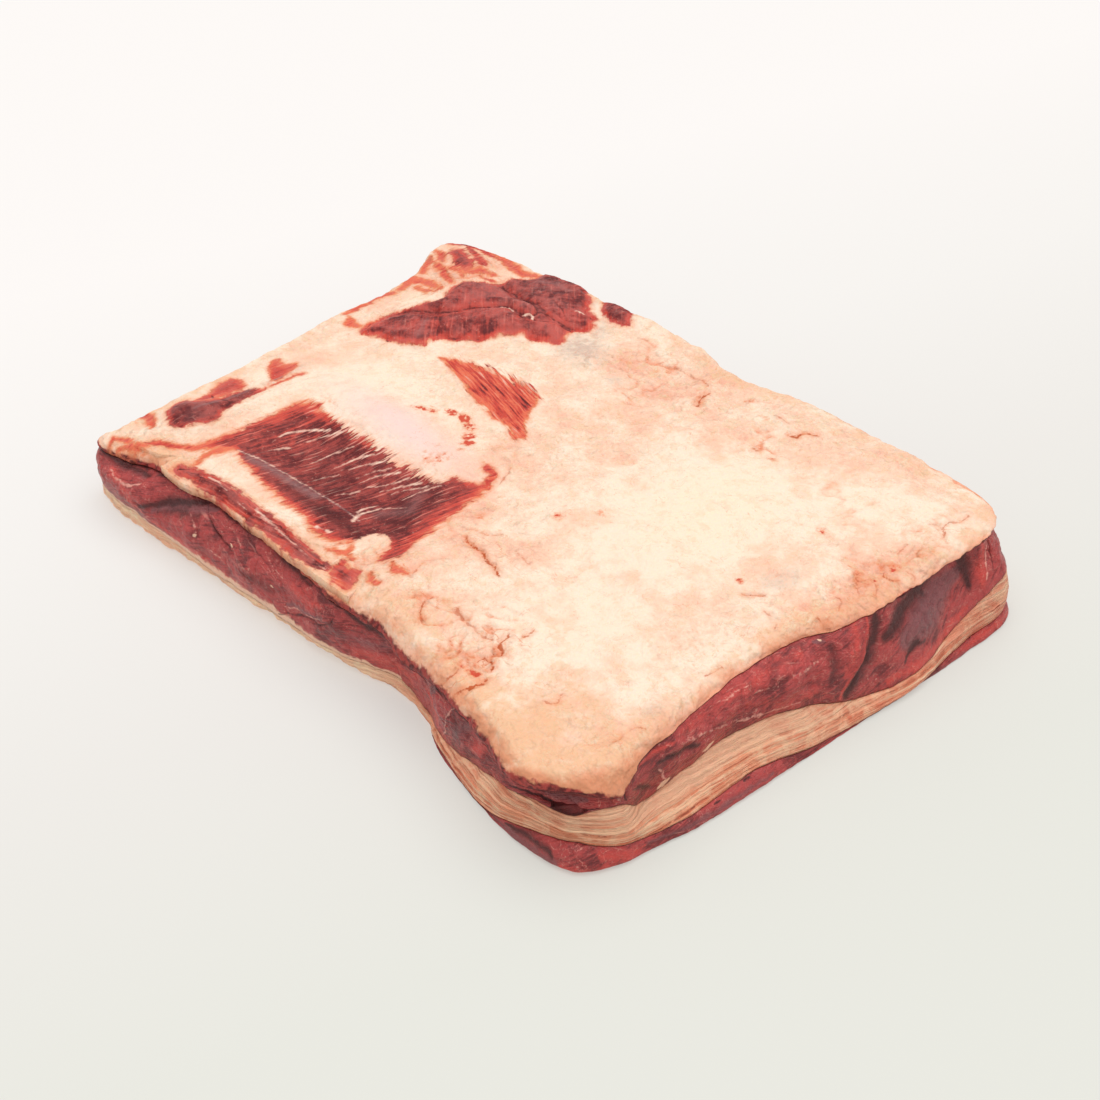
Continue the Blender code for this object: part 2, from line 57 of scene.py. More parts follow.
slab = {
    "planCentre": (5.5, 9.0),     # this point of the plan is the part's origin
    "layerGap": 0.35,             # clearance between two layers
    "cellsAlong": 28,             # coarse cells from the left corner to the front corner
    "cellsAcross": 20,            # and from the front corner to the right corner
    "sidePerCell": 20,            # fine steps in a coarse cell, for the sides
    "capPerCell": 12,             # and for the cap
    "contactInset": 2.5,          # the floor is touched this far in from the widest line
    "cornerSmoothing": 15.0,
    "edgeShare": (0.14, 0.2),     # how much of a hidden face bends to its edge, along and across
    # left uneven by hand trimming: (station value, millimetres, seed, size)
    "trimming": (
        (2, 0.5, 3.0, 12), (3, 0.35, 9.0, 16), (4, 0.8, 17.0, 14), (5, 0.7, 23.0, 18), (6, 0.9, 31.0, 13),
        (7, 0.9, 37.0, 15),
    ),
    # Going round from the left corner, anticlockwise from above: plan point of the widest line, then inset
    # and height of the lower muscle's, seam fat's and upper muscle's top lines, swell, top inset.
    "stations": (
        (-187, -115, 2, 2, 1, 8, 2, 29, 2, 8), (-171, -121, 2, 2, 0, 8, 5, 30, 3, 10),
        (-135, -123, 2, 2, -1, 11, 13, 34, 4, 19), (-95, -120.5, 2, 2, -2, 8, 12, 37, 3, 17),
        (-45, -118.5, 2, 2, -3, 8, 8, 38, 3, 13), (5, -116.5, 2, 2, -3, 8, -1, 37, 1, 7),
        (38, -112, 2, 2, 2, 7, -5, 37, -1, 4), (60, -114, 1, 2, 1, 4, -7, 34, -2, 3),
        (84, -125, 0, 2.5, 2, 8, 2, 36, 1, 9), (120, -134, -1, 2.5, 4, 17, 2, 36, 0, 9),
        (148, -138, 3, 9, 6, 24, -2, 39, -6, 6), (173, -134, 6, 13, 9, 25, 6, 42, -7, 13),
        (184, -116, 2, 10, 5, 31, 4, 37, -1, 15), (187, -100, 2, 7, 11, 18, 11, 43, 2, 17),
        (192, -77, 3, 6, 16, 18, 17, 44, 2, 23), (195.5, -42, 5, 7, 17, 22, 23, 46, 3, 29),
        (198, -8, 1, 3, 11, 19, 23, 47, 3, 29), (200, 20, -1, 2, 5, 11, 16, 46, 1, 22),
        (203, 55, -2, 2, 0, 9, 13, 47, -3, 19), (206, 95, 3, 4, 6, 16, 14, 48, -6, 18),
        (205, 129, 2, 6, 4, 28, 15, 47, -3, 18), (182, 147, 3, 5, 5, 22, 8, 47, 0, 12),
        (120, 153, 3, 5, 4, 18, 5, 45, 2, 11), (55, 152, 3, 5, 4, 16, 5, 42, 2, 10),
        (14, 147, 3, 4, 4, 14, 4, 40, 0, 8), (-8, 154, 3, 4, 4, 14, 4, 40, 2, 9),
        (-60, 156, 3, 3, 4, 11, 5, 38, 2, 8), (-120, 157, 3, 2, 4, 9, 5, 36, 2, 9),
        (-178, 153, 3, 2, 4, 8, 6, 34, 2, 10), (-197, 130, 3, 2, 4, 8, 3, 34, 1, 6),
        (-189, 100, 3, 2, 3, 8, 3, 32, 1, 7), (-187, 40, 3, 2, 3, 8, 4, 31, 2, 8),
        (-184, -15, 3, 2, 3, 8, 4, 30, 2, 8), (-180, -65, 3, 2, 3, 8, 4, 29, 2, 7),
        (-185, -96, 3, 2, 3, 8, 4, 29, 2, 8),
    ),
    "corners": (0, 11, 20, 28),   # stations of the left, front, right and back corners
}


# 0 to 1 with level ends: 3t^2 - 2t^3.
def smoothStep(value):
    value = np.clip(value, 0.0, 1.0)
    return value * value * (3.0 - 2.0 * value)


def blendOf(low, high, share):
    return low + (high - low) * share


# Gradient noise: each corner of the unit cell has a seeded random slope, and the eight slopes'
# heights at the point are blended by 6t^5 - 15t^4 + 10t^3. About -1 to 1, zero on average.
noiseRandom = np.random.default_rng(11)
shuffle = np.tile(noiseRandom.permutation(256), 2)
slopes = noiseRandom.normal(size=(256, 3))
slopes /= np.linalg.norm(slopes, axis=1)[:, None]


def grain(x, y, z=0.0, size=1.0):
    place = [np.asarray(axis, float) / size + 71.3 for axis in np.broadcast_arrays(x, y, z)]
    cell = [np.floor(axis).astype(int) for axis in place]
    local = [axis - corner for axis, corner in zip(place, cell)]
    fade = [t * t * t * (t * (6 * t - 15) + 10) for t in local]
    total = 0.0
    for corner in itertools.product((0, 1), repeat=3):
        a, b, c = [(start + step) & 255 for start, step in zip(cell, corner)]
        slope = slopes[shuffle[shuffle[shuffle[a] + b] + c]]
        height = sum(slope[..., k] * (local[k] - corner[k]) for k in range(3))
        weight = math.prod(fade[k] if corner[k] else 1 - fade[k] for k in range(3))
        total = total + height * weight
    return total * 1.5


# Layers of noise, each half the size and half the height of the one before.
def layered(x, y, z=0.0, size=1.0, layers=3):
    return sum(grain(x, y, z + 3.7 * k, size / 2**k) / 2**k for k in range(layers))


# Distance along a bent line at each of its points.
def lengthsAlong(points):
    return np.concatenate([[0.0], np.cumsum(np.linalg.norm(np.diff(points, axis=0), axis=1))])


# Nearest point of a bent line: a + clip((p - a).(b - a) / |b - a|^2, 0, 1) (b - a) over its parts.
# Gives the distance, the share of the way along, and the side, + on the left.
def fromLine(x, y, points):
    points = np.array(points, float)
    lengths = np.linalg.norm(np.diff(points, axis=0), axis=1)
    marks = lengthsAlong(points)
    nearest, share, side = np.full(x.shape, 1e6), np.zeros(x.shape), np.ones(x.shape)
    for (ax, ay), (bx, by), length, start in zip(points[:-1], points[1:], lengths, marks):
        dx, dy, px, py = bx - ax, by - ay, x - ax, y - ay
        t = np.clip((px * dx + py * dy) / length**2, 0, 1)
        away = np.hypot(px - t * dx, py - t * dy)
        closer = away < nearest
        nearest = np.where(closer, away, nearest)
        share = np.where(closer, (start + t * length) / marks[-1], share)
        side = np.where(closer, np.where(dx * py - dy * px >= 0, 1.0, -1.0), side)
    return nearest, share, side


# Whether a place is within a margin of the box round some points.
def nearTo(x, y, points, margin):
    low, high = np.min(points, axis=0) - margin, np.max(points, axis=0) + margin
    return (x > low[0]) & (x < high[0]) & (y > low[1]) & (y < high[1])


# The cubic between two values that has a given slope at each.
def cubic(low, high, slopeLow, slopeHigh, t):
    return ((2 * t**3 - 3 * t**2 + 1) * low + (t**3 - 2 * t**2 + t) * slopeLow
            + (3 * t**2 - 2 * t**3) * high + (t**3 - t**2) * slopeHigh)


# A smooth curve through points: a cubic with averaged slopes. Rows may be points or whole rings.
def throughPoints(points, where, marks):
    points = np.asarray(points, float)
    slope = np.gradient(points, marks, axis=0)
    low = np.clip(np.searchsorted(marks, where, side="right") - 1, 0, len(points) - 2)
    shape = (-1,) + (1,) * (points.ndim - 1)
    length = (marks[low + 1] - marks[low]).reshape(shape)
    t = (where - marks[low]).reshape(shape) / length
    return cubic(points[low], points[low + 1], length * slope[low], length * slope[low + 1], t)


def curveThrough(points, count):
    points = np.array(points, float)
    marks = lengthsAlong(points)
    return throughPoints(points, np.linspace(0.0, marks[-1], count), marks)


# Depth inside a closed outline, in mm, and minus the distance outside it.
def insideDepth(x, y, outline, smooth=3):
    points = np.array(outline, float)
    around = np.vstack([points[-3:], points, points[:3]])
    marks = lengthsAlong(around)
    where = np.concatenate([np.linspace(start, stop, smooth, endpoint=False)
                            for start, stop in zip(marks[3:-3], marks[4:-2])])
    loop = throughPoints(around, where, marks)
    near = nearTo(x, y, loop, 12)
    nx, ny = x[near], y[near]
    inside = np.zeros(nx.shape, bool)
    for (ax, ay), (bx, by) in zip(loop, np.roll(loop, -1, axis=0)):
        if ay != by:
            inside ^= ((ay > ny) != (by > ny)) & (nx < (bx - ax) * (ny - ay) / (by - ay) + ax)
    away = fromLine(nx, ny, np.vstack([loop, loop[:1]]))[0]
    depth = np.full(x.shape, -30.0)
    depth[near] = np.where(inside, away, -away)
    return depth


# An oval spot: exp(-(distance in radii)^2).
def ovalSpot(x, y, centreX, centreY, radiusLong, radiusShort, turn=0.0):
    angle = math.radians(turn)
    along = (x - centreX) * math.cos(angle) + (y - centreY) * math.sin(angle)
    across = (y - centreY) * math.cos(angle) - (x - centreX) * math.sin(angle)
    return np.exp(-((along / radiusLong) ** 2) - (across / radiusShort) ** 2)


# The strongest of some oval spots at each place, or with np.add their sum. Rows are (oval, amount).
def spotMap(x, y, rows, together=np.maximum):
    total = np.zeros(x.shape)
    for oval, amount in rows:
        total = together(total, amount * ovalSpot(x, y, *oval))
    return total


# The strongest of some soft lines at each place: amount (1 - distance / half width), not below 0.
def lineMap(x, y, rows):
    total = np.zeros(x.shape)
    for amount, halfWidth, points in rows:
        total = np.maximum(total, amount * (1 - fromLine(x, y, points)[0] / halfWidth))
    return total


stationRows = np.array(slab["stations"], float)
stationSteps = np.linalg.norm(np.roll(stationRows[:, :2], -1, axis=0) - stationRows[:, :2], axis=1)
stationMarks = np.concatenate([[0.0], np.cumsum(stationSteps)])
loopLength = stationMarks[-1]


# Station values at distances round the slab, by a closed cubic with averaged slopes.
def stationValues(distance):
    before = np.roll(stationSteps, 1)
    slopeAfter = (np.roll(stationRows, -1, axis=0) - stationRows) / stationSteps[:, None]
    slopeBefore = np.roll(slopeAfter, 1, axis=0)
    slope = blendOf(slopeBefore, slopeAfter, (stationSteps / (stationSteps + before))[:, None])
    distance = np.mod(distance, loopLength)
    low = np.clip(np.searchsorted(stationMarks, distance, side="right") - 1, 0, len(stationRows) - 1)
    high = (low + 1) % len(stationRows)
    length = stationSteps[low][:, None]
    t = (distance - stationMarks[low])[:, None] / length
    return cubic(stationRows[low], stationRows[high], length * slope[low], length * slope[high], t)


# The slab's side at even steps round it: the widest line, the outward direction, and the layers' lines.
class Side:
    def __init__(self, perCell):
        self.perCell = perCell
        self.columns = columns = np.linspace(0, 1, slab["cellsAlong"] * perCell + 1)
        self.rows = rows = np.linspace(0, 1, slab["cellsAcross"] * perCell + 1)
        ends = [stationMarks[corner] for corner in slab["corners"]] + [loopLength]
        shares = (columns[:-1], rows[:-1], 1 - columns[:0:-1], 1 - rows[:0:-1])
        self.distance = np.concatenate([
            blendOf(start, stop, share) for start, stop, share in zip(ends[:-1], ends[1:], shares)])
        values = stationValues(self.distance)
        ahead = stationValues(self.distance + slab["cornerSmoothing"])[:, :2]
        tangent = ahead - stationValues(self.distance - slab["cornerSmoothing"])[:, :2]
        tangent /= np.linalg.norm(tangent, axis=1)[:, None]
        self.inward = np.stack([-tangent[:, 1], tangent[:, 0]], axis=1)
        self.outward = np.column_stack([-self.inward, np.zeros(len(tangent))])
        for value, amount, seed, size in slab["trimming"]:
            values[:, value] += amount * layered(values[:, 0], values[:, 1], seed, size)
        self.base, self.lower, self.seam, self.upper = (values[:, k : k + 2] for k in (0, 2, 4, 6))
        self.swell, self.topInset = values[:, 8], values[:, 9]

    # Points at an inset from the widest line and at a height.
    def line(self, inset, height):
        plan = self.base + self.inward * np.broadcast_to(inset, len(self.base))[:, None]
        return np.column_stack([plan, np.broadcast_to(height, len(plan))])

    # A filled closed line: blended rows plus blended columns less the blended corners.
    def filled(self, loop):
        nu, nv = len(self.columns) - 1, len(self.rows) - 1
        loop = np.vstack([loop, loop[:1]])
        front, right = loop[: nu + 1], loop[nu : nu + nv + 1]
        back, left = loop[nu + nv : 2 * nu + nv + 1][::-1], loop[2 * nu + nv :][::-1]
        u, v = self.columns[:, None, None], self.rows[None, :, None]
        return (blendOf(front[:, None], back[:, None], v) + blendOf(left[None], right[None], u)
                - blendOf(blendOf(front[0], back[0], v), blendOf(front[-1], back[-1], v), u))

    # A hidden face between layers: a filled line whose inside is drawn to a height.
    def face(self, line, height):
        face = self.filled(line)
        along, across = (np.minimum(1, np.minimum(lines, 1 - lines) / share)
                         for lines, share in zip((self.columns, self.rows), slab["edgeShare"]))
        inside = smoothStep(along[:, None] * across[None])
        face[..., 2] += (height(face[..., 0], face[..., 1]) - face[..., 2]) * inside
        return face

    def coarse(self, face):
        return face[:: self.perCell, :: self.perCell]


# The points round a grid's edge, in order.
def gridEdge(grid):
    return np.concatenate([grid[:, 0], grid[-1, 1:], grid[-2::-1, -1], grid[0, -2:0:-1]])


def gridQuads(number):
    return np.stack([number[:-1, :-1], number[1:, :-1], number[1:, 1:], number[:-1, 1:]], -1).reshape(-1, 4)


# Joins a fine ring to a coarse inner grid: each half of a coarse edge fans to its nearer point.
def fannedFace(ring, inner, perCell):
    onward, backward = [], []
    for cells in (inner.shape[0] + 1, inner.shape[1] + 1):
        onward.append(np.clip(np.arange(cells) - 1, 0, cells - 2))
        backward.append(np.clip(np.arange(cells, 0, -1) - 1, 0, cells - 2))
    mates = np.concatenate([
        inner[onward[0], 0], inner[-1, onward[1]], inner[backward[0], -1], inner[0, backward[1]]])
    ahead = np.roll(mates, -1)
    second = np.tile(np.arange(perCell) >= perCell // 2, len(mates))
    tip = np.where(second, np.repeat(ahead, perCell), np.repeat(mates, perCell))
    fans = np.stack([ring, np.roll(ring, -1), tip], -1)
    joins = np.stack([ring[perCell // 2 :: perCell], ahead, mates], -1)[ahead != mates]
    return [fans, joins, gridQuads(inner)]


# A closed piece: rings up its side, a coarse hidden under face, and a fine or a coarse upper face.
def closedPiece(name, rings, under, upper, perCell, fineTop=False):
    side = np.arange(rings[..., 0].size).reshape(rings.shape[:2])
    points, count = [rings.reshape(-1, 3)], side.size

    def numbered(grid):
        nonlocal count
        points.append(grid.reshape(-1, 3))
        count += grid[..., 0].size
        return np.arange(count - grid[..., 0].size, count).reshape(grid.shape[:2])

    faces = [group[:, ::-1] for group in fannedFace(side[0], numbered(under[1:-1, 1:-1]), perCell)]
    if fineTop:
        top = numbered(upper)
        side = np.vstack([side, gridEdge(top)])
        faces.append(gridQuads(top))
    else:
        faces += fannedFace(side[-1], numbered(upper[1:-1, 1:-1]), perCell)
    low, high = side[:-1], side[1:]
    around = [low, np.roll(low, -1, axis=1), np.roll(high, -1, axis=1), high]
    faces.append(np.stack(around, -1).reshape(-1, 4))
    return addMesh(name, np.concatenate(points), faces)


# Points are kept inside the slab's own box.
def addMesh(name, points, faceGroups):
    placed = np.clip((points - np.array([*slab["planCentre"], 0.0])) * mm, cadLow, cadHigh)
    corners = np.concatenate([group.ravel() for group in faceGroups])
    sizes = np.concatenate([np.full(len(group), group.shape[1]) for group in faceGroups])
    mesh = bpy.data.meshes.new(name)
    mesh.vertices.add(len(placed))
    mesh.vertices.foreach_set("co", placed.astype(np.float32).ravel())
    mesh.loops.add(len(corners))
    mesh.loops.foreach_set("vertex_index", corners.astype(np.int32))
    mesh.polygons.add(len(sizes))
    mesh.polygons.foreach_set("loop_start", (np.cumsum(sizes) - sizes).astype(np.int32))
    mesh.update(calc_edges=True)
    mesh.validate()
    mesh.shade_smooth()
    piece = bpy.data.objects.new(name, mesh)
    bpy.context.scene.collection.objects.link(piece)
    return piece, points


def addMeasures(piece, measures):
    for name, values in measures.items():
        attribute = piece.data.attributes.new(name, "FLOAT", "POINT")
        attribute.data.foreach_set("value", np.asarray(values, np.float32).ravel())


# Pushes a sheet of rings out along its own normals.
def pushedOut(rings, amount):
    around = (np.roll(rings, -1, axis=1) - np.roll(rings, 1, axis=1)) / 2
    normal = np.cross(around, np.gradient(rings, axis=0))
    normal /= np.maximum(np.linalg.norm(normal, axis=2), 1e-9)[..., None]
    return rings + normal * amount[..., None]


def lifted(points, amount):
    return points + np.array([0.0, 0.0, amount])


topForm = {
    "height": 47.5, "riseX": 0.026, "riseY": 0.012, "crown": 2.5, "edgeDrop": 1.5,
    "halfLength": 200.0, "halfWidth": 146.0, "lumpSize": 46.0, "lumpHeight": 0.7,
    "swellings": (      # (plan centre, long and short radius, turn), height
        ((-68, -14, 52, 17, -4), 4.0), ((-62, -62, 60, 24, 3), -2.5), ((-70, -104, 62, 5, 2), 2.5),
        ((-112, 88, 42, 20, 48), 4.5), ((-180, 130, 22, 18, 0), 5.5), ((-190, -112, 26, 20, 0), -4.5),
        ((-35, 146, 55, 16, 0), 3.0), ((165, 146, 45, 22, 0), -3.0), ((-160, -76, 12, 20, 8), 2.5),
        ((-150, 30, 26, 40, 0), -2.0), ((93, -112, 9, 14, 10), -3.0), ((30, -100, 34, 16, -10), 2.0),
        ((95, 20, 60, 70, 0), 1.5), ((20, 110, 40, 26, 0), -1.5), ((150, -80, 30, 40, 20), 1.5),
    ),
    "folds": (          # of fat that stands up at the waist and the right rim
        ((52, -108, 14, 10, -20), 1.8), ((72, -112, 10, 12, 10), 1.6), ((30, -95, 16, 10, 20), 1.2),
        ((88, -100, 8, 12, 0), 1.2), ((64, -92, 14, 8, 10), 0.9), ((40, -116, 16, 6, 0), 1.0),
        ((12, -92, 10, 8, 0), 0.8), ((100, -95, 10, 14, 0), 0.6), ((180, 24, 4, 6, 0), 1.0),
        ((184, 84, 5, 9, 0), 0.7), ((172, 50, 6, 9, 0), 0.6), ((168, 92, 7, 8, 0), 0.5),
    ),
}


# Uneven ground about zero: a sum of seeded plane waves of about one spacing.
def lumps(x, y, spacing, seed, waves=7):
    waveRandom = np.random.default_rng(seed)
    total = np.zeros_like(x, dtype=float)
    for _ in range(waves):
        heading = waveRandom.uniform(0.0, math.pi)
        wave = 2.0 * math.pi / (spacing * waveRandom.uniform(0.7, 1.5))
        phase = waveRandom.uniform(0.0, 2.0 * math.pi)
        total += np.sin((x * math.cos(heading) + y * math.sin(heading)) * wave + phase)
    return total / math.sqrt(waves / 2.0)


# A slope plus a crown that falls off as 1 - (x / half length)^2 and 1 - (y / half width)^2.
def topPlane(x, y):
    crown = np.clip(1 - (x / topForm["halfLength"]) ** 2, 0, 1)
    crown = crown * np.clip(1 - (y / topForm["halfWidth"]) ** 2, 0, 1)
    return topForm["height"] + topForm["riseX"] * x + topForm["riseY"] * y + topForm["crown"] * crown


# That plane plus lumps, swellings and folds.
def topHeight(x, y):
    height = topPlane(x, y) + topForm["lumpHeight"] * lumps(x, y, topForm["lumpSize"], seed=4)
    return height + spotMap(x, y, (*topForm["swellings"], *topForm["folds"]), np.add)


# Lean that shows in the cap: brightness, closed outline in the plan.
leanPatches = (
    (0.0, ((-121, -31), (-113, -28), (-107, -31), (-100, -32), (-88, -32), (-77, -34), (-66, -33),
     (-55, -34), (-46, -35), (-36, -35), (-28, -35), (-20, -35), (-15, -32), (-13, -27), (-5, -23), (0, -19),
     (-1, -16), (-6, -11), (-10, -11), (-11, -8.5), (-6, -7), (2, -14), (5, -29), (6, -40), (7, -55),
     (9, -70), (12, -80), (10, -92), (6, -90), (2, -81), (-4, -75), (-12, -78), (-15, -88), (-20, -95),
     (-29, -99), (-42, -94), (-58, -91), (-71, -90), (-85, -88), (-104, -84), (-113, -81), (-119, -82),
     (-126, -89), (-134, -97), (-143, -103), (-153, -107), (-152, -103), (-142, -99), (-134, -92),
     (-129, -82), (-127, -68), (-126, -52), (-124, -40))),  # rib
    (0.3, ((-161, 48), (-160, 41), (-155, 36), (-150, 38), (-144, 40), (-138, 39), (-132, 41), (-124, 42),
     (-119, 45), (-116, 48), (-117, 53), (-114, 57), (-108, 61), (-103, 67), (-98, 69), (-95, 75), (-93, 81),
     (-88, 85), (-84, 90), (-79, 90), (-73, 94), (-69, 96), (-66, 101), (-68, 106), (-69, 112), (-65, 117),
     (-64, 123), (-69, 127), (-70, 132), (-77, 134), (-81, 138), (-88, 145), (-93, 149), (-97, 157),
     (-126, 157), (-129, 146), (-132, 139), (-139, 134), (-138, 126), (-142, 119), (-150, 112), (-152, 101),
     (-149, 93), (-145, 88), (-151, 76), (-157, 64))),  # wedge
    # lobe
    (0.1, ((-78, 144), (-81, 152), (-80, 158), (-62, 158), (-56, 144), (-50, 137), (-58, 134), (-67, 136))),
    (1.0, ((-102, 46), (-90, 50), (-80, 52), (-70, 54), (-60, 56), (-50, 58), (-42, 56), (-36, 53),
     (-32, 48), (-30, 42), (-26, 35), (-20, 27), (-13, 20), (-18, 18), (-27, 24), (-34, 25), (-38, 24),
     (-46, 27), (-55, 29), (-65, 32), (-75, 37), (-85, 40), (-95, 44))),  # triangle
    (0.05, ((-166, -85), (-170, -78), (-169, -71), (-164, -68), (-160, -62), (-158, -50), (-156, -41),
     (-148, -37), (-148, -52), (-147, -59), (-147, -64), (-144, -68), (-144, -75), (-148, -80), (-150, -88),
     (-158, -89))),  # purple strip
    (0.6, ((-165, -60), (-170, -51), (-168, -38), (-163, -38), (-158, -41), (-158, -50), (-158, -57),
     (-160, -63), (-164, -68))),  # red strip
    (0.85, ((-166, -18), (-166, -13), (-160, -14), (-156, -7), (-153, -13), (-152, -27), (-156, -25),
     (-161, -22))),  # left nick
    (0.05, ((-126, -110), (-124, -105), (-118, -103), (-102, -102), (-84, -102.5), (-68, -103),
     (-50, -104.5), (-31, -107), (-15, -107.5), (-6, -108.5), (-9, -114), (-19, -115), (-36, -114.5),
     (-52, -113), (-67, -112), (-83, -112), (-101, -112), (-116, -110.5), (-122, -112))),  # ribbon
    # ribbon end
    (0.4, ((-6, -107), (-5, -101), (-1, -104), (7, -103), (11, -109), (11, -115), (3, -115), (-3, -112))),
    # corner core
    (0.15, ((-181, 125), (-181, 132), (-170, 130), (-161, 125), (-159, 120), (-167, 118), (-174, 121))),
    # corner band
    (0.35, ((-181, 139), (-176, 140), (-165, 136), (-157, 133), (-158, 128), (-166, 131), (-176, 135))),
)

# Lumps of muscle that stand up there, with painted highlight on their rims and painted shade in the grooves
# between: rise, closed outline.
leanLumps = (
    (2.2, ((-156, 37), (-159, 45), (-156, 58), (-144, 69), (-131, 73), (-126, 82), (-120, 92), (-107, 101),
     (-99, 99), (-89, 101), (-82, 109), (-70, 111), (-67, 108), (-67, 100), (-70, 96), (-80, 91), (-88, 85),
     (-95, 74), (-103, 67), (-115, 57), (-116, 48), (-124, 42), (-132, 41), (-144, 40))),
    (2.8, ((-160, 47), (-157, 62), (-145, 88), (-150, 98), (-150, 110), (-142, 117), (-135, 121),
     (-121, 117), (-112, 115), (-103, 115), (-93, 109), (-91, 103), (-100, 101), (-110, 103), (-121, 95),
     (-128, 84), (-134, 75), (-146, 71), (-157, 60))),
    (2.4, ((-138, 126), (-138, 134), (-131, 140), (-128, 150), (-110, 153), (-95, 150), (-82, 139),
     (-80, 134), (-70, 129), (-65, 122), (-68, 115), (-72, 113), (-80, 112), (-90, 112), (-99, 117),
     (-113, 118), (-122, 120), (-132, 122))),
    (1.6, ((-78, 144), (-81, 152), (-70, 155), (-60, 148), (-51, 137), (-58, 135), (-67, 137))),
    (1.1, ((-166, -85), (-170, -78), (-168, -71), (-162, -68), (-158, -58), (-152, -55), (-148, -62),
     (-145, -68), (-145, -75), (-149, -86))),
    (0.8, ((-165, -58), (-169, -50), (-167, -39), (-160, -40), (-159, -50), (-160, -60))),
    (0.9, ((-181, 125), (-181, 131), (-170, 129), (-161, 124), (-160, 120), (-167, 119), (-174, 121))),
    (0.9, ((-124, -110), (-118, -104), (-98, -103.5), (-62, -105), (-38, -108), (-10, -110), (-20, -114),
     (-40, -113.5), (-62, -111.5), (-98, -111), (-116, -110))),
    (0.9, ((-5, -106), (-4, -102), (6, -104), (10, -109), (10, -114), (3, -114), (-3, -111))),
)

# Red streaks outside those patches: half width in mm, brightness, points in the plan.
redStreaks = (
    (0.8, 0.6, ((-146, -12), (-148, -24), (-149, -38))),
    (1.5, 0.9, ((-120, -101), (-122, -93), (-121, -87), (-116, -80))),
    (1.2, 0.8, ((-171, -118), (-175, -112), (-168, -110), (-160, -110))),
    (2.2, 0.8, ((-162, -124), (-155, -120), (-146, -121), (-138, -118))),
    (1.6, 1.0, ((-150, -109), (-158, -112), (-166, -115))),
    (2.2, 0.8, ((-178, -92), (-172, -91), (-163, -96))), (2.0, 0.8, ((-180, 114), (-168, 109), (-156, 105))),
    (2.8, 1.0, ((-166, 147), (-148, 143), (-138, 142), (-128, 147))),
    (2.6, 1.1, ((-187, 115), (-184, 109), (-180, 103))), (2.2, 1.0, ((-160, 116), (-156, 125), (-147, 129))),
    (1.2, 0.9, ((-170, 114), (-164, 117), (-158, 114))),
    (2.8, 1.25, ((-177, 84), (-180, 94), (-169, 98), (-157, 96))),
    (1.4, 1.1, ((-172, 90), (-164, 91), (-156, 92))), (2.2, 0.9, ((-178, 60), (-182, 70), (-177, 79))),
    (1.6, 0.9, ((-177, 44), (-178, 52), (-178, 60))), (2.2, 1.0, ((-173, 43), (-168, 39), (-162, 41))),
    (3.0, 0.5, ((-188, 132), (-183, 140), (-172, 144), (-160, 143))),
    (1.6, 0.8, ((-190, 122), (-184, 121), (-178, 117))), (1.2, 0.8, ((-152, 121), (-146, 122), (-141, 124))),
    (1.5, 0.9, ((15, -90), (20, -93), (26, -91))), (1.1, 1.0, ((12, -101), (16, -104), (21, -103))),
    (0.9, 0.8, ((-14, -90), (-10, -97), (-12, -101))), (0.8, 0.9, ((-18, -101), (-12, -98), (-4, -98))),
)

# Pale fibres in the lean: half width in mm, points in the plan.
paleFibres = (
    (1.0, ((-93, -38), (-103, -46), (-108, -55), (-107, -63))),
    (1.0, ((-26, -79), (-28, -72), (-25, -64), (-15, -55))), (0.7, ((-27, -76), (-31, -70), (-27, -62))),
    (1.3, ((-33, -95), (-31, -94), (-30, -94))), (1.2, ((-28, -93), (-26, -92), (-25, -91))),
    (0.7, ((-86, -36), (-92, -44), (-96, -52))), (0.6, ((-98, -60), (-102, -68), (-104, -74))),
    (0.6, ((-72, -40), (-77, -49), (-81, -60))), (0.7, ((-58, -38), (-64, -46), (-68, -56))),
    (0.8, ((-50, -38), (-57, -47), (-63, -55))), (0.7, ((-44, -40), (-50, -49), (-53, -56))),
    (0.8, ((-38, -39), (-45, -48), (-49, -56))), (0.7, ((-31, -39), (-37, -49), (-43, -55))),
    (0.8, ((-24, -38), (-31, -47), (-36, -54))), (0.6, ((-19, -38), (-25, -45), (-30, -52))),
    (0.5, ((-14, -34), (-18, -42), (-22, -52))), (0.5, ((-62, -58), (-66, -66), (-68, -72))),
    (0.5, ((-44, -60), (-48, -67), (-50, -72))),
    (0.4, ((-113, -80), (-100, -77), (-80, -75.5), (-50, -74.5), (-24, -77))),
    (0.6, ((-66, -105), (-46, -108), (-26, -110.5), (-8, -111))),
    (0.4, ((-104, -104), (-88, -106.5), (-70, -108))),
)

# How far the lean's boundary is combed into fibres, in mm: (plan oval, amount).
featherPlaces = (
    ((-62, -36, 46, 11, 0), 7.0), ((-112, -32, 12, 8, 0), 3.0), ((-70, -90, 56, 8, -3), 2.2),
    ((-26, -96, 12, 8, 0), 3.0), ((-56, 56, 42, 7, 4), 7.0), ((-60, 34, 50, 7, -12), 2.0),
    ((-20, 24, 14, 9, -40), 3.4), ((6, -60, 6, 30, 0), 2.4), ((9, -88, 6, 8, 0), 2.4),
    ((-120, -60, 8, 30, 0), 1.6), ((-170, 120, 30, 40, 0), 1.2), ((-80, -104, 60, 7, 0), 0.8),
)

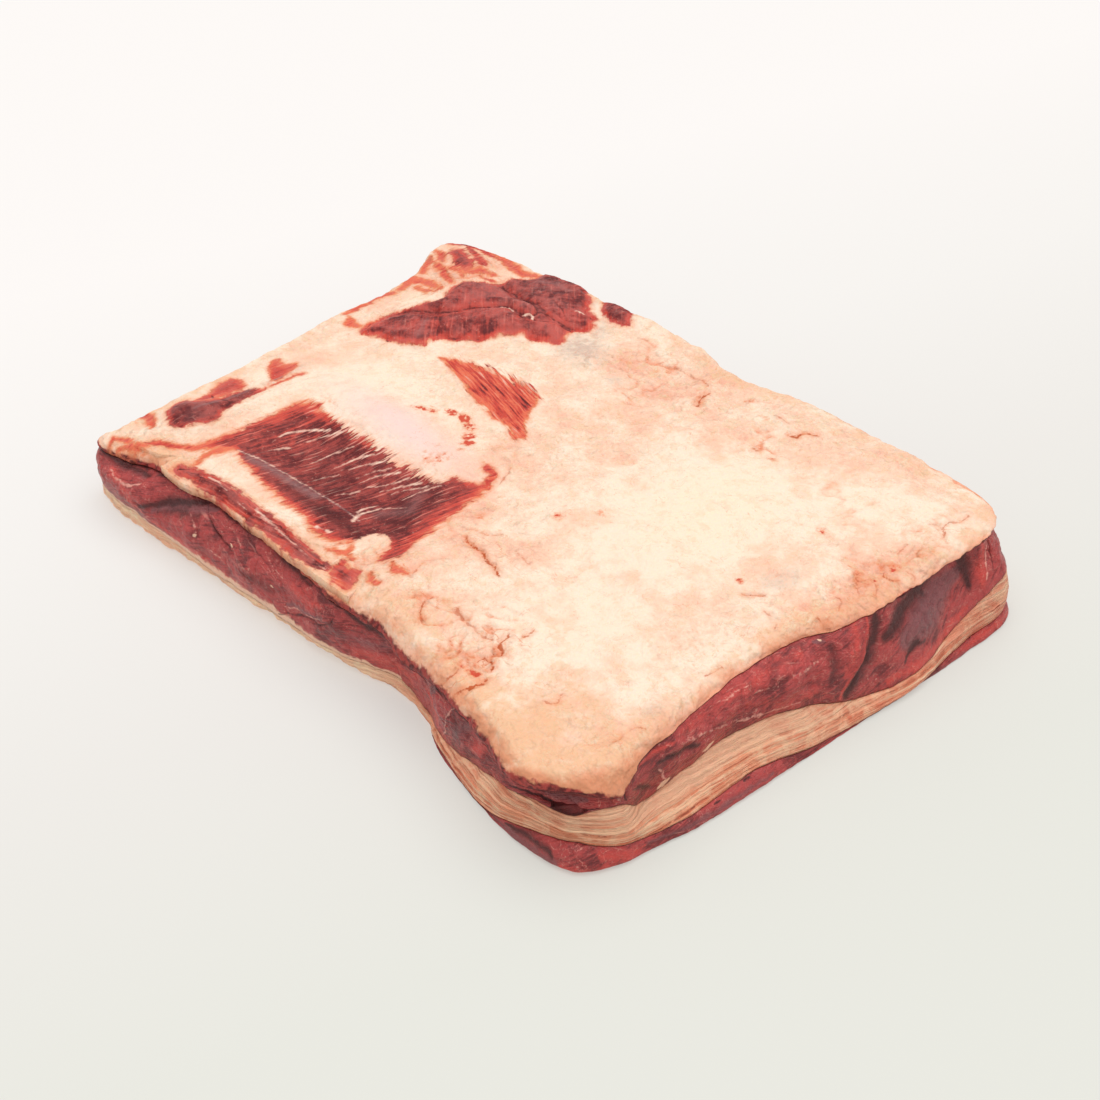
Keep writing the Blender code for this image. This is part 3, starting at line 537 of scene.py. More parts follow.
# Where the lean is bright or dark: (plan oval, amount).
leanTones = (
    ((-121, -45, 6, 14, 0), 0.9), ((-128, -78, 6, 14, 0), 0.7), ((-138, -98, 16, 8, 30), 0.9),
    ((-112, -31, 14, 5, -6), 0.7), ((-104, -40, 12, 6, 0), 0.3), ((3, -40, 6, 30, -3), 0.6),
    ((7, -72, 7, 24, -10), 0.65), ((2, -24, 8, 9, 0), 0.5), ((-6, -8, 12, 5, -40), 0.6),
    ((-70, -90, 44, 5.0, -2), 0.75), ((-100, -85, 14, 3, 8), 0.7), ((-28, -97, 20, 5, 6), 0.75),
    ((-62, -63, 18, 8, 0), -0.4), ((-27, -86, 18, 4, 0), -0.4), ((-109, -63, 8, 14, 0), 0.35),
    ((-31, -64, 8, 6, 0), 0.25), ((-120, 92, 12, 10, 0), 0.3), ((-129, 63, 10, 8, 0), 0.25),
    ((-66, -33, 6, 3, 0), 0.6), ((-62, -83, 34, 4.5, 2), -0.5), ((-34, -84, 12, 4, 10), -0.5),
    ((-10, -58, 9, 14, 0), -0.45), ((-6, -74, 8, 8, 0), -0.3), ((-14, -40, 8, 8, 0), -0.3),
    ((-55, 44, 46, 22, -6), 0.1), ((-126, -108, 8, 6, 0), 0.4), ((-44, -104, 14, 4, 0), 0.1),
    ((-158, 46, 8, 7, 0), 0.5), ((-82, 120, 12, 10, 0), 0.25), ((-76, 104, 10, 10, 0), 0.25),
    ((-112, 132, 20, 8, 0), -0.25), ((-120, 62, 10, 10, 0), 0.05), ((-66, 142, 12, 8, 0), -0.1),
    ((-136, 52, 16, 8, 30), 0.1),
)

# Soft lines in the lean, and scraps of fat on it: amount, half width in mm, points in the plan.
leanLines = {
    "silver": (
        (1.0, 0.9, ((-113, -80), (-100, -77), (-80, -75.5), (-50, -74.5), (-24, -77))),
        (0.95, 4.5, ((-104, -80), (-90, -78.5), (-70, -77.5), (-56, -77))),
        (0.9, 1.3, ((-157, -74), (-155, -56), (-154, -38), (-152, -24), (-150, -10))),
        (0.45, 6.0, ((-18, -44), (-12, -56), (-22, -66))), (0.5, 4.0, ((-124, 50), (-128, 56), (-132, 62))),
        (0.5, 3.0, ((-100, 140), (-112, 142), (-122, 138))),
        (0.15, 5.0, ((-150, -82), (-156, -74), (-160, -66))),
    ),
    # dark lines lie in grooves of the lean, and are painted shade there
    "dark": (
        (0.9, 1.0, ((-131, 72), (-123, 65), (-117, 57))),
        (0.8, 1.2, ((-156, 36), (-144, 38.5), (-132, 39.5), (-124, 41), (-117, 46))),
        (0.7, 1.6, ((-24, -78), (-19, -82), (-13, -86))),
        (0.6, 1.2, ((-118, 118), (-104, 116.5), (-94, 112), (-84, 110))),
        (0.7, 1.0, ((-94, 124), (-86, 121), (-80, 117))), (0.6, 1.0, ((-66, 112), (-62, 124), (-58, 133))),
        (0.7, 1.0, ((-168, -86), (-160, -90), (-150, -89))),
        (0.5, 1.0, ((-147, -62), (-143, -70), (-145, -79))),
        (0.8, 1.2, ((-50, -104), (-46, -102.5), (-42, -103))),
    ),
    "scraps": (
        (1.0, 1.6, ((-113, 101), (-108, 102), (-103, 100))),
        (1.0, 1.6, ((-95, 101), (-91, 104), (-89, 101))), (1.0, 1.6, ((-80, 126), (-76, 128))),
    ),
}

# The skins that carry the lean: near and far edges in the plan, cells between them, depth, and for the
# finish the direction of the fibres, how strong they are and how dull the flesh is.
leanSkins = {
    "rib_lean": {
        "near": ((-160, -112), (-142, -109), (-118, -97), (-98, -98), (-60, -98), (-40, -99.3),
         (-22, -102.5), (-2, -98), (17, -96)),
        "far": ((-137, -25), (-120, -19), (-100, -24), (-74, -21), (-50, -24), (-28, -16), (-22, 1), (-6, 2),
         (12, -13)),
        "cells": (26, 13), "depth": 4.6, "grain": (70, 1.0, 0.1),
    },
    "wedge_lean": {
        "near": ((-168, 38), (-157, 30), (-138, 32), (-118, 36), (-104, 55), (-86, 76), (-67, 87),
         (-56, 106), (-40, 141)),
        "far": ((-169, 50), (-165, 62), (-159, 78), (-159, 96), (-158, 118), (-147, 136), (-132, 145.5),
         (-90, 146.5), (-44, 145.5)),
        "cells": (26, 14), "depth": 4.6, "grain": (130, 0.35, 0.42),
    },
    "triangle_lean": {
        "near": ((-112, 41), (-98, 37), (-76, 29), (-56, 21), (-38, 15), (-20, 9), (-5, 12)),
        "far": ((-111, 49), (-96, 56), (-76, 61), (-50, 67), (-34, 64), (-19, 46), (-3, 18)),
        "cells": (20, 8), "depth": 4.6, "grain": (-22, 1.6, 0.0),
    },
    "edge_lean": {
        "near": ((-176, -76), (-172, -89), (-157, -97), (-141, -88), (-135, -76)),
        "far": ((-175, -40), (-170, -31), (-158, -28), (-147, -29), (-140, -36)),
        "cells": (8, 11), "depth": 4.2, "grain": (78, 0.4, 0.35),
    },
    "strip_lean": {
        "near": ((-132, -113), (-112, -113.5), (-90, -112), (-60, -113), (-30, -116), (-6, -117),
         (15, -117)),
        "far": ((-131, -104), (-118, -98.8), (-98, -99.4), (-60, -99.2), (-38, -101), (-20, -104),
         (-8, -100.5), (14, -98)),
        "cells": (26, 3), "depth": 4.2, "grain": (-2, 0.8, 0.45),
    },
}


# A grid ruled straight across from a near curve to a far curve.
def ruledGrid(skin, perCell):
    across, up = (cells * perCell + 1 for cells in skin["cells"])
    near, far = curveThrough(skin["near"], across), curveThrough(skin["far"], across)
    return blendOf(near[:, None], far[:, None], np.linspace(0, 1, up)[None, :, None])


def skinRim(skin):
    return gridEdge(ruledGrid(skin, 2))


# The upper edge of the side: its inset line on the top, less the edge drop.
def topLineOf(side):
    line = side.line(side.topInset, 0.0)
    line[:, 2] = topHeight(line[:, 0], line[:, 1]) - topForm["edgeDrop"]
    return line


fineSide, capSide = Side(slab["sidePerCell"]), Side(slab["capPerCell"])
topRim = topLineOf(Side(3))[:, :2]
print("slab and noise ready")

capSurface = {
    # where the fat is calm or wrinkled: (plan oval, strength)
    "calm": (
        ((-70, -12, 62, 20, -4), 0.95), ((-110, 20, 44, 26, 0), 0.85), ((95, 30, 46, 62, 0), 0.75),
        ((-60, -60, 66, 30, 0), 0.9), ((120, -80, 50, 50, 0), 0.5), ((-110, 90, 50, 40, 48), 0.7),
        ((-60, 45, 46, 18, 0), 0.6), ((150, 110, 40, 40, 0), 0.4),
    ),
    "wrinkled": (
        ((30, -98, 50, 22, 0), 0.8), ((80, -100, 20, 24, 0), 1.0), ((178, 40, 13, 60, 0), 1.5),
        ((0, 112, 46, 26, -30), 1.1), ((0, -10, 26, 30, 0), 0.35), ((-168, 110, 24, 40, 0), 0.9),
        ((-160, -100, 30, 20, 0), 0.8), ((66, 108, 36, 26, 0), 0.9), ((130, 80, 34, 24, 0), 0.5),
        ((30, -50, 30, 16, 0), 0.5), ((-50, -112, 90, 5, 0), 0.6),
    ),
    # size and height in mm of its lumps, folds and grain
    "lumpSize": 24.0, "lumpHeight": 0.7, "midSize": 9.0, "midHeight": 0.52,
    "wrinkleSize": 10.0, "wrinkleHeight": 1.1, "fineSize": 2.8, "fineHeight": 0.14,
    # folds and splits: half width, depth, redness, points in the plan
    "creases": (
        (1.2, 1.8, 1.0, ((22, -51), (27, -55), (32, -56), (37, -56), (43, -58), (50, -60), (59, -64))),
        (0.8, 0.8, 0.5, ((36, -38), (43, -43), (51, -46), (58, -47), (65, -48))),
        (0.8, 0.7, 0.5, ((18, -50), (24, -46), (30, -44), (36, -38))),
        (1.2, 1.6, 0.9, ((44, -90), (44, -95), (47, -101), (50, -105), (53, -107), (56, -107))),
        (0.8, 0.9, 0.6, ((47, -90), (55, -92), (64, -94), (68, -94))),
        (0.9, 1.0, 0.7, ((55, -90), (67, -94), (75, -95), (83, -95), (88, -94))),
        (1.4, 1.6, 1.0, ((87, -85), (88, -88), (89, -92), (90, -95), (93, -96), (94, -98), (92, -100),
         (90, -102))),
        (1.1, 1.4, 1.0, ((90, -102), (91, -103), (95, -104), (98, -107))),
        (1.0, 1.0, 0.9, ((90, -102), (89, -105), (87, -109))),
        (0.9, 1.2, 0.9, ((92, -84), (94, -83), (94, -80), (93, -77))),
        (1.0, 1.2, 0.8, ((80, -125), (83, -123), (85, -121), (86, -118), (85, -114))),
        (1.3, 1.6, 1.0, ((86, -127), (91, -126), (95, -123), (98, -118), (99, -113), (97, -109))),
        (0.9, 1.0, 0.6, ((31, -68), (28, -73), (25, -79), (26, -86), (32, -94))),
        (0.8, 0.9, 0.6, ((126, -107), (130, -106), (133, -105), (132, -100), (131, -97))),
        (0.9, 0.8, 0.6, ((172, -88), (167, -93), (166, -97), (167, -101), (165, -106), (162, -112))),
        (0.8, 0.8, 0.6, ((-12, 119), (-8, 125), (2, 124), (13, 124), (22, 120))),
        (1.2, 1.4, 1.0, ((23, 119), (24, 111), (28, 103))),
        (0.7, 0.6, 0.6, ((61, 123), (68, 122), (74, 121))),
        (0.9, 0.9, 0.9, ((75, 113), (81, 115), (84, 121), (91, 124))),
        (1.0, 0.9, 0.9, ((71, 95), (75, 94), (76, 97))),
        (0.8, 0.7, 0.6, ((178, 101), (177, 109), (179, 116), (180, 125))),
        (0.9, 0.9, 0.9, ((176, 62), (180, 58), (184, 59), (186, 62))),
        (0.8, 0.8, 0.7, ((178, 52), (181, 50), (184, 44), (182, 44))),
        (0.8, 0.8, 0.7, ((183, 67), (187, 68), (191, 64))),
        (0.8, 0.8, 0.7, ((175, 14), (179, 14), (183, 12))),
        (0.8, 0.8, 0.6, ((156, 0), (161, 0), (167, -2), (169, -6))),
        (0.8, 0.7, 0.6, ((171, 33), (176, 31), (180, 24))),
        (0.8, 0.7, 0.6, ((172, 45), (179, 41), (182, 34))),
        (0.8, 0.7, 0.6, ((180, 80), (185, 79), (187, 83))),
        (0.8, 0.7, 0.7, ((196, 91), (196, 97), (198, 102), (196, 113))),
        (0.5, 0.4, 0.7, ((152, 10), (155, 12), (157, 16))),
        (0.8, 0.7, 0.8, ((142, 3), (144, 2), (148, 6), (152, 10))),
        (0.9, 0.8, 0.6, ((180, 61), (184, 55), (186, 51))),
        (0.9, 0.8, 0.7, ((171, 101), (174, 104), (179, 103), (182, 99))),
        (0.9, 0.8, 0.8, ((179, 86), (180, 82), (182, 78))), (0.9, 0.8, 0.6, ((178, 6), (181, 4), (184, 4))),
        (0.9, 0.9, 0.9, ((185, 13), (186, 16), (188, 18))),
        (0.8, 0.6, 0.6, ((174, 74), (174, 78), (173, 83))),
        (0.8, 0.6, 0.7, ((166, -49), (167, -44), (168, -38))),
        (0.9, 0.6, 0.6, ((172, -19), (175, -12), (179, -6), (181, 2))),
        (0.8, 0.6, 0.6, ((-12, 16), (-4, 6), (2, -6), (6, -16))),
    ),
}


# A narrow band where a noise passes through zero: (1 - |noise| / width)^2.
def bandOf(noise, width):
    return np.clip(1 - np.abs(noise) / width, 0, 1) ** 2


# The fat's own relief: soft lumps of three sizes, and in the wrinkled places folded skin, whose
# grooves are bands of a warped noise. Also the share of those grooves, for their painted shade.
def fatRelief(x, y):
    form = capSurface
    lively, wrinkled = 1.0 - spotMap(x, y, form["calm"]), spotMap(x, y, form["wrinkled"])
    warpX = x + 7 * layered(x, y, 5.0, 24, 2)
    warpY = y + 7 * layered(x, y, 15.0, 24, 2)
    folds = bandOf(grain(warpX, warpY, 2.0, form["wrinkleSize"]), 0.28)
    smallFolds = bandOf(grain(warpX * 1.3, warpY, 22.0, form["wrinkleSize"] * 0.5), 0.3)
    share = (wrinkled + 0.1 * lively) * smoothStep(0.5 + 1.6 * layered(x, y, 33.0, 28, 2))
    height = form["lumpHeight"] * lively * layered(x, y, 1.0, form["lumpSize"], 2)
    height += form["midHeight"] * (lively + wrinkled) * layered(warpX, warpY, 6.0, form["midSize"], 3)
    height -= form["wrinkleHeight"] * share * (folds + 0.35 * smallFolds)
    height += form["fineHeight"] * (0.4 + 0.6 * lively + wrinkled) * layered(x, y, 8.0, form["fineSize"], 3)
    return height, np.clip(share * (folds + 0.5 * smallFolds), 0, 1)


# The nearest crease: signed distance in half widths, redness, and a dip with a lip on either side.
def creaseMeasures(x, y):
    nearest, side = np.full(x.shape, 9.0), np.full(x.shape, 9.0)
    weight, dip = np.zeros(x.shape), np.zeros(x.shape)
    wobbleX, wobbleY = 0.9 * layered(x, y, 41.0, 4.0, 3), 0.9 * layered(x, y, 47.0, 4.0, 3)
    broken = smoothStep(0.6 + 1.6 * grain(x, y, 43.0, 7.0))
    for width, depth, redness, points in capSurface["creases"]:
        near = nearTo(x, y, points, 10)
        line = curveThrough(points, 4 * len(points))
        away, share, hand = fromLine((x + wobbleX)[near], (y + wobbleY)[near], line)
        taper = smoothStep(np.minimum(share, 1 - share) / 0.12) * (1 - (1.15 - redness) * (1 - broken[near]))
        dip[near] += depth * taper * (
            -0.55 * np.exp(-((away / width) ** 2))
            + 0.22 * np.exp(-(((away - 2.6 * width) / (1.4 * width)) ** 2))
            + np.where(hand > 0, 0.5, 0.0) * np.exp(-((away / 6.5) ** 2)))
        closer = away / width < nearest[near]
        for values, new in ((nearest, away / width), (side, hand * away / width), (weight, redness * taper)):
            values[near] = np.where(closer, new, values[near])
    return np.clip(side, -9, 9), weight, dip


# How deep each point lies in the lean, how far the lean stands up there, and how bright it is, with a painted
# highlight on the lumps' rims; and where painted shade goes in the grooves between lumps.
def leanMeasures(x, y):
    depth = np.full(x.shape, -30.0)
    rise, tone, rim, lumpGrooveShade = (np.zeros(x.shape) for _ in range(4))
    wobbleX, wobbleY = 1.0 * layered(x, y, 51.0, 6, 3), 1.0 * layered(x, y, 57.0, 6, 3)
    for brightness, outline in leanPatches:
        inside = insideDepth(x + wobbleX, y + wobbleY, outline)
        tone += brightness * smoothStep(inside / 2.0 + 1.0)
        depth = np.maximum(depth, inside)
    for lift, outline in leanLumps:
        inside = insideDepth(x + wobbleX, y + wobbleY, outline)
        rise += lift * (smoothStep(inside / 6.5) ** 0.7) + 0.25 * lift * smoothStep(inside / 1.5)
        # a painted highlight just inside each lump's rim, and painted shade in the groove at its edge
        rim = np.maximum(rim, np.exp(-(((inside - 1.6) / 1.6) ** 2)))
        lumpGrooveShade = np.maximum(lumpGrooveShade, np.exp(-((inside / 0.8) ** 2)))
    for halfWidth, brightness, points in redStreaks:
        near = nearTo(x, y, points, 12)
        away, share, _ = fromLine((x + wobbleX)[near], (y + wobbleY)[near], points)
        inside = halfWidth * (0.35 + 0.65 * np.sin(math.pi * share)) - away
        depth[near] = np.maximum(depth[near], inside)
        tone[near] = np.maximum(tone[near], brightness * smoothStep(inside / 3 + 1))
    return depth, rise, tone + 0.3 * rim, lumpGrooveShade


# Depth inside the pale fibres, each thinning towards its end.
def fibreMeasures(x, y):
    inside = np.full(x.shape, -6.0)
    for halfWidth, points in paleFibres:
        near = nearTo(x, y, points, 8)
        away, share, _ = fromLine(x[near], y[near], curveThrough(points, 12))
        inside[near] = np.maximum(inside[near], halfWidth * (1.15 - share) - away)
    return inside


# Fat colouring of the cap: (plan oval, amount).
fatTones = {
    "blush": (
        ((10, -40, 50, 30, 0), 0.5), ((20, -95, 56, 28, 0), 0.6), ((180, 38, 14, 50, 0), 1.5),
        ((-34, 104, 20, 14, 0), 0.8), ((44, -48, 26, 18, 0), 0.5), ((70, 98, 40, 20, 0), 0.5),
        ((162, -108, 24, 20, 0), 0.5), ((140, -106, 46, 28, 0), 0.2), ((10, 115, 60, 34, 0), 0.65),
        ((75, 125, 60, 22, 0), 0.55), ((0, 10, 30, 26, 0), 0.5), ((84, -106, 22, 20, 0), 0.6),
        ((150, -20, 24, 50, 0), 0.4), ((-166, 90, 22, 70, 0), 0.6), ((-150, -104, 34, 16, 0), 0.75),
        ((-60, -114, 80, 6, 0), 0.6), ((-140, -60, 14, 30, 0), 0.3), ((10, 50, 50, 30, 0), 0.35),
        ((178, -90, 14, 44, 0), 0.7), ((120, 132, 50, 14, 0), 0.45), ((-34, -10, 12, 9, 0), 0.45),
        ((-90, 26, 60, 18, 0), 0.3), ((-60, 70, 60, 16, 0), 0.35), ((90, -128, 60, 10, 0), 0.5),
        ((150, 60, 30, 30, 0), 0.3),
    ),
    "warm": (
        ((142, -116, 54, 28, 0), 0.75), ((20, -100, 50, 20, 0), 0.35), ((176, 30, 12, 70, 0), 0.3),
        ((0, 120, 50, 24, 0), 0.3), ((80, 132, 60, 12, 0), 0.25), ((165, -134, 26, 10, 20), 0.8),
        ((-150, -106, 34, 10, 0), 0.4), ((-60, -116, 80, 6, 0), 0.5),
    ),
    "cream": (
        ((92, 40, 34, 56, 0), 0.9), ((110, -60, 30, 34, 0), 0.4), ((-118, 5, 30, 26, 0), 0.5),
        ((140, 90, 30, 30, 0), 0.35), ((-162, 82, 10, 12, 0), 0.8), ((-5, -85, 10, 12, 0), 0.4),
    ),
    "lilac": (
        ((-64, -15, 46, 14, -6), 1.0),
    ),
    "stain": (
        ((-54, 102, 22, 16, -25), 1.0), ((-60, 122, 9, 18, 40), 0.7), ((150, 22, 9, 16, -20), 0.7),
        ((165, -80, 7, 10, 0), 0.6), ((-64, 130, 12, 6, 0), 0.6), ((-40, 2, 14, 7, -30), 0.3),
        ((-120, 43, 10, 5, 0), 0.7), ((184, 8, 5, 8, 0), 1.0), ((-152, -20, 4, 24, 0), 0.8),
        ((-20, 92, 10, 6, 0), 0.6), ((70, -74, 8, 6, 0), 0.3), ((-168, -88, 5, 6, 0), 0.6),
        ((-163, 110, 6, 4, 0), 1.0), ((-150, 100, 4, 8, 0), 0.5), ((-172, 126, 3, 4, 0), 0.8),
        ((128, -34, 5, 4, 0), 0.4), ((140, -52, 5, 4, 0), 0.4), ((-84, 142, 5, 6, 0), 0.8),
        ((-8, -84, 9, 9, 0), 0.35),
    ),
    "redSpots": (
        ((-72, 4, 6, 3.2, 20), 1.0), ((-66, 8, 4, 3, 0), 0.8), ((-57, 13, 6, 3.4, 0), 1.0),
        ((-49, 14, 6, 3.4, 0), 1.1), ((-42, 11, 5, 3.6, -20), 1.0), ((-36, 5, 4.5, 4, -40), 1.1),
        ((-31, -1, 4, 4.6, -40), 1.0), ((-28, -8, 3, 4, 0), 0.6), ((-29, -20, 4, 6, 0), 0.9),
        ((-38, -14, 8, 4, 0), 0.35), ((-32, -24, 11, 7, -20), 0.5), ((140.5, 62, 3.2, 2.6, -30), 1.0),
        ((137, 8, 2.6, 2, 0), 0.9), ((45, -14, 4.0, 3.2, 0), 0.8), ((58, 1, 4, 3.0, 0), 0.6),
        ((43, 128, 5, 3, 30), 0.7), ((60, 118, 10, 4, 0), 0.4), ((73, 97, 4, 3, 0), 0.7),
        ((84, 93, 5, 2.4, 0), 0.6), ((181, 44, 9, 44, 0), 0.42), ((22, -89, 7, 3, 0), 0.7),
        ((92, -111, 5, 3, -20), 0.95), ((87, -113, 6, 3, 0), 0.55), ((53, -106, 2.4, 2, 0), 0.9),
        ((90, -96, 3, 5, 0), 0.6), ((179, 66, 5, 4, 0), 0.8), ((177, 50, 4, 9, 0), 0.6),
        ((16, -36, 3, 6, 0), 0.6), ((-16, 4, 12, 6, -40), 0.4), ((22, 112, 3, 7, 10), 0.5),
        ((-2, 84, 20, 4, -10), 0.3), ((-150, -112, 18, 5, 0), 0.55), ((-176, 112, 10, 12, 0), 0.4),
        ((-140, 128, 10, 8, 0), 0.45), ((-112, -22, 12, 5, 0), 0.4), ((0, -104, 12, 6, 0), 0.35),
        ((-166, -48, 6, 12, 0), 0.4),
    ),
}
formOnly = ("rimDepth", "relief", "rise")     # measures that shape the cap and aren't painted


# What the cap's form and finish go by at each place of the plan.
def capMeasures(x, y):
    depth, rise, tone, lumpGrooveShade = leanMeasures(x, y)
    silver, dark, scraps = (lineMap(x, y, leanLines[kind]) for kind in ("silver", "dark", "scraps"))
    side, creaseWeight, dip = creaseMeasures(x, y)
    relief, wrinkleGrooveShade = fatRelief(x, y)
    rimDepth = insideDepth(x, y, topRim, smooth=1)
    tones = {name: spotMap(x, y, spots) for name, spots in fatTones.items()}
    tones["warm"] += 0.4 * (1 - smoothStep(rimDepth / 12.0))
    return {
        **tones, "leanDepth": np.clip(depth, -12, 24), "leanTone": tone + spotMap(x, y, leanTones, np.add),
        # the dark lines and the grooves round the lumps of lean are painted shade
        "silverSkin": silver, "shadedGrooves": np.maximum(dark, 0.75 * lumpGrooveShade * smoothStep(depth / 1.5 - 0.5)),
        "paleFibre": np.maximum(fibreMeasures(x, y), 2.4 * scraps - 1.2),
        "feather": 1.0 + spotMap(x, y, featherPlaces), "creaseSide": side, "creaseWeight": creaseWeight,
        # the low places of the relief and the wrinkle grooves are kept for painted shade, the high places for
        # painted light
        "wrinkleShade": wrinkleGrooveShade, "reliefShading": -relief - dip,
        "rimDepth": rimDepth, "relief": relief + dip, "rise": rise - 0.5 * dark + 0.5 * scraps,
    }


# Height of the cap's surface: the slab's form, its edge drop, the fat's relief or the lean's.
def capHeight(x, y, measures):
    drop = topForm["edgeDrop"] * (1 - smoothStep(measures["rimDepth"] / 42.0))
    leanShare = smoothStep((measures["leanDepth"] + 0.6) / 2.2)
    strands = grain(x * 0.94 + y * 0.34, (y - 0.3 * x) * 0.09, 0, 1.5)
    flesh = 0.14 * strands + 0.45 * layered(x, y, 70, 8, 3) - 0.35
    surface = measures["relief"] * (1 - leanShare) + measures["rise"] + flesh * leanShare
    return topHeight(x, y) - drop + surface - 0.25


# Measures on a cap piece's hidden points, then on its fine top, with the two of its rounded edge.
def paintCap(piece, points, top, rimShare, rimFlesh):
    hidden = points[: len(points) - top["rise"].size]
    below = capMeasures(hidden[:, 0], hidden[:, 1])
    joined = {name: np.concatenate([below[name], top[name].ravel()]) for name in top if name not in formOnly}
    addMeasures(piece, {**joined, "rimShare": rimShare, "rimFlesh": rimFlesh})


capEdge = {
    # rise, reach and lip of the rounded edge, from the lower line to the flat top
    "profile": (
        (0.0, 0.0, 0.0), (0.1, 0.0, 1.2), (0.4, 0.1, 1.8), (0.72, 0.34, 1.4), (0.93, 0.68, 0.6),
        (1.0, 1.0, 0.0),
    ),
    "rings": 13, "thickness": 11.5,
    "fleshFrom": 0.52,     # the share of the edge, from the top, that is fat where it hangs over
    "flushAt": 475, "flushRun": 85,     # distance round where the edge lies flush, and over how far
    "leftFlesh": (560, 60, 0.25), "rightFlesh": (680, 95, 0.5),      # where else flesh shows, run, amount
    "pocket": 1.3,         # how far the cap dips under the skins of lean, in mm
}
seamForm = {
    "topHeight": 20.0, "riseX": 0.03, "swell": 1.2, "rings": 24,
    # distance round, radius, share up where it starts, strength
    "smoothPlaces": ((440, 75, 0.5, 1.0), (1180, 90, 0.3, 0.7)),
    # distance round, radius, strength
    "pinkPlaces": (
        (590, 50, 0.6), (0, 14, 0.9), (630, 20, 0.3), (400, 30, 0.3), (290, 30, 0.4), (500, 50, 0.4),
        (100, 60, 0.35),
    ),
    "thinUntil": 200.0, "thinRun": 60.0,     # the thin left end, pale and lumpy
}
lowerForm = {"start": 20, "endHeight": 2.5, "topHeight": 11.0, "run": 4.0, "rings": 15, "sideHeight": 8.0}
muscleForm = {"roundness": 0.6, "fold": 0.8, "foldLength": 34.0, "rings": 48, "sideHeight": 28.0}


# 1 where the cap's edge lies flush with the muscle under it.
def flushShare(distance):
    return np.exp(-(((distance - capEdge["flushAt"]) / capEdge["flushRun"]) ** 4))


def capUnderHeight(x, y):
    return topPlane(x, y) - capEdge["thickness"]


def seamHeight(x, y):
    return seamForm["topHeight"] + seamForm["riseX"] * x


# The cap: a rounded ragged edge through the profile's lines, and the fine top dipped under the skins.
def makeCap():
    upperLine = capSide.line(*capSide.upper.T)
    top = capSide.filled(topLineOf(capSide))
    x, y = top[..., 0], top[..., 1]
    measures = capMeasures(x, y)
    skinDepth = np.max([insideDepth(x, y, skinRim(skin), smooth=1) for skin in leanSkins.values()], axis=0)
    top[..., 2] = capHeight(x, y, measures) - capEdge["pocket"] * smoothStep((skinDepth - 0.2) / 3.0)
    flush = flushShare(capSide.distance)
    across = gridEdge(top) - upperLine
    lips = capSide.outward * (1 - 0.75 * flush[:, None])
    controls = [upperLine + across * np.array([reach, reach, rise]) + lips * lip
                for rise, reach, lip in capEdge["profile"]]
    where = np.linspace(0, 1, capEdge["rings"])[:-1]
    rings = throughPoints(controls, where, np.linspace(0, 1, len(controls)))
    ringX, ringY, ringZ = np.moveaxis(rings, -1, 0)
    ragged = 1.1 * layered(ringX, ringY, ringZ * 1.4, 8.0, 3) - 0.6 + 0.45 * grain(ringX, ringY, ringZ, 2.8)
    rings = pushedOut(rings, ragged * np.sin(math.pi * where**0.8)[:, None])
    under = capSide.coarse(capSide.face(upperLine, capUnderHeight))
    piece, points = closedPiece("cap_fat", rings, under, top, capSide.perCell, True)
    edgeSize, topSize = rings[..., 0].size, top[..., 0].size
    rimShare = np.repeat((1.0, 0.0), (len(points) - topSize, topSize))
    rimShare[:edgeSize] = np.repeat(1 - where, rings.shape[1])
    leftAt, leftRun, leftFlesh = capEdge["leftFlesh"]
    rightAt, rightRun, rightFlesh = capEdge["rightFlesh"]
    fleshLevel = capEdge["fleshFrom"] + 0.6 * flush
    fleshLevel = fleshLevel + leftFlesh * smoothStep((capSide.distance - leftAt) / leftRun)
    fleshLevel = fleshLevel + rightFlesh * np.exp(-(((capSide.distance - rightAt) / rightRun) ** 4))
    rimFlesh = np.full(len(points), -1.0)
    rimFlesh[:edgeSize] = ((1 - where)[:, None] - fleshLevel).ravel()
    paintCap(piece, points, measures, rimShare, rimFlesh)
    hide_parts("fat_cap")
    return piece


# A skin of lean: the cap's own surface over a ruled grid, sunk a little at its rim.
def makeSkin(name, perCell=10):
    skin = leanSkins[name]
    plan = ruledGrid(skin, perCell)
    x, y = plan[..., 0], plan[..., 1]
    measures = capMeasures(x, y)
    rim = insideDepth(x, y, skinRim(skin), smooth=1)
    sunk = capHeight(x, y, measures) - 0.10 * (1 - smoothStep(rim / 1.6))
    top = np.concatenate([plan, sunk[..., None]], -1)
    under = lifted(top, -skin["depth"])
    piece, points = closedPiece(name, gridEdge(under)[None], under[::perCell, ::perCell], top, perCell, True)
    paintCap(piece, points, measures, np.zeros(len(points)), np.full(len(points), -1.0))
    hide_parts(name)
    return piece


# Bulges of the upper muscle's side: (distance round, share up, radii), push outwards.
sideBulges = (
    ((26, 0.6, 22, 0.42), 2.4), ((112, 0.55, 40, 0.42), 1.8), ((168, 0.7, 22, 0.25), 1.2),
    ((214, 0.4, 26, 0.5), 1.4), ((292, 0.5, 18, 0.5), 1.6), ((430, 0.62, 26, 0.42), 2.0),
    ((484, 0.55, 24, 0.4), 2.0), ((527, 0.5, 8, 0.7), 2.6), ((574, 0.34, 26, 0.3), 1.6),
    ((618, 0.55, 8, 0.6), 2.4), ((60, 0.2, 26, 0.2), 0.8), ((470, 0.95, 30, 0.2), -0.8),
    ((260, 0.5, 10, 0.5), -1.6), ((578, 0.85, 24, 0.3), -2.2), ((350, 0.5, 26, 0.5), -1.2),
)
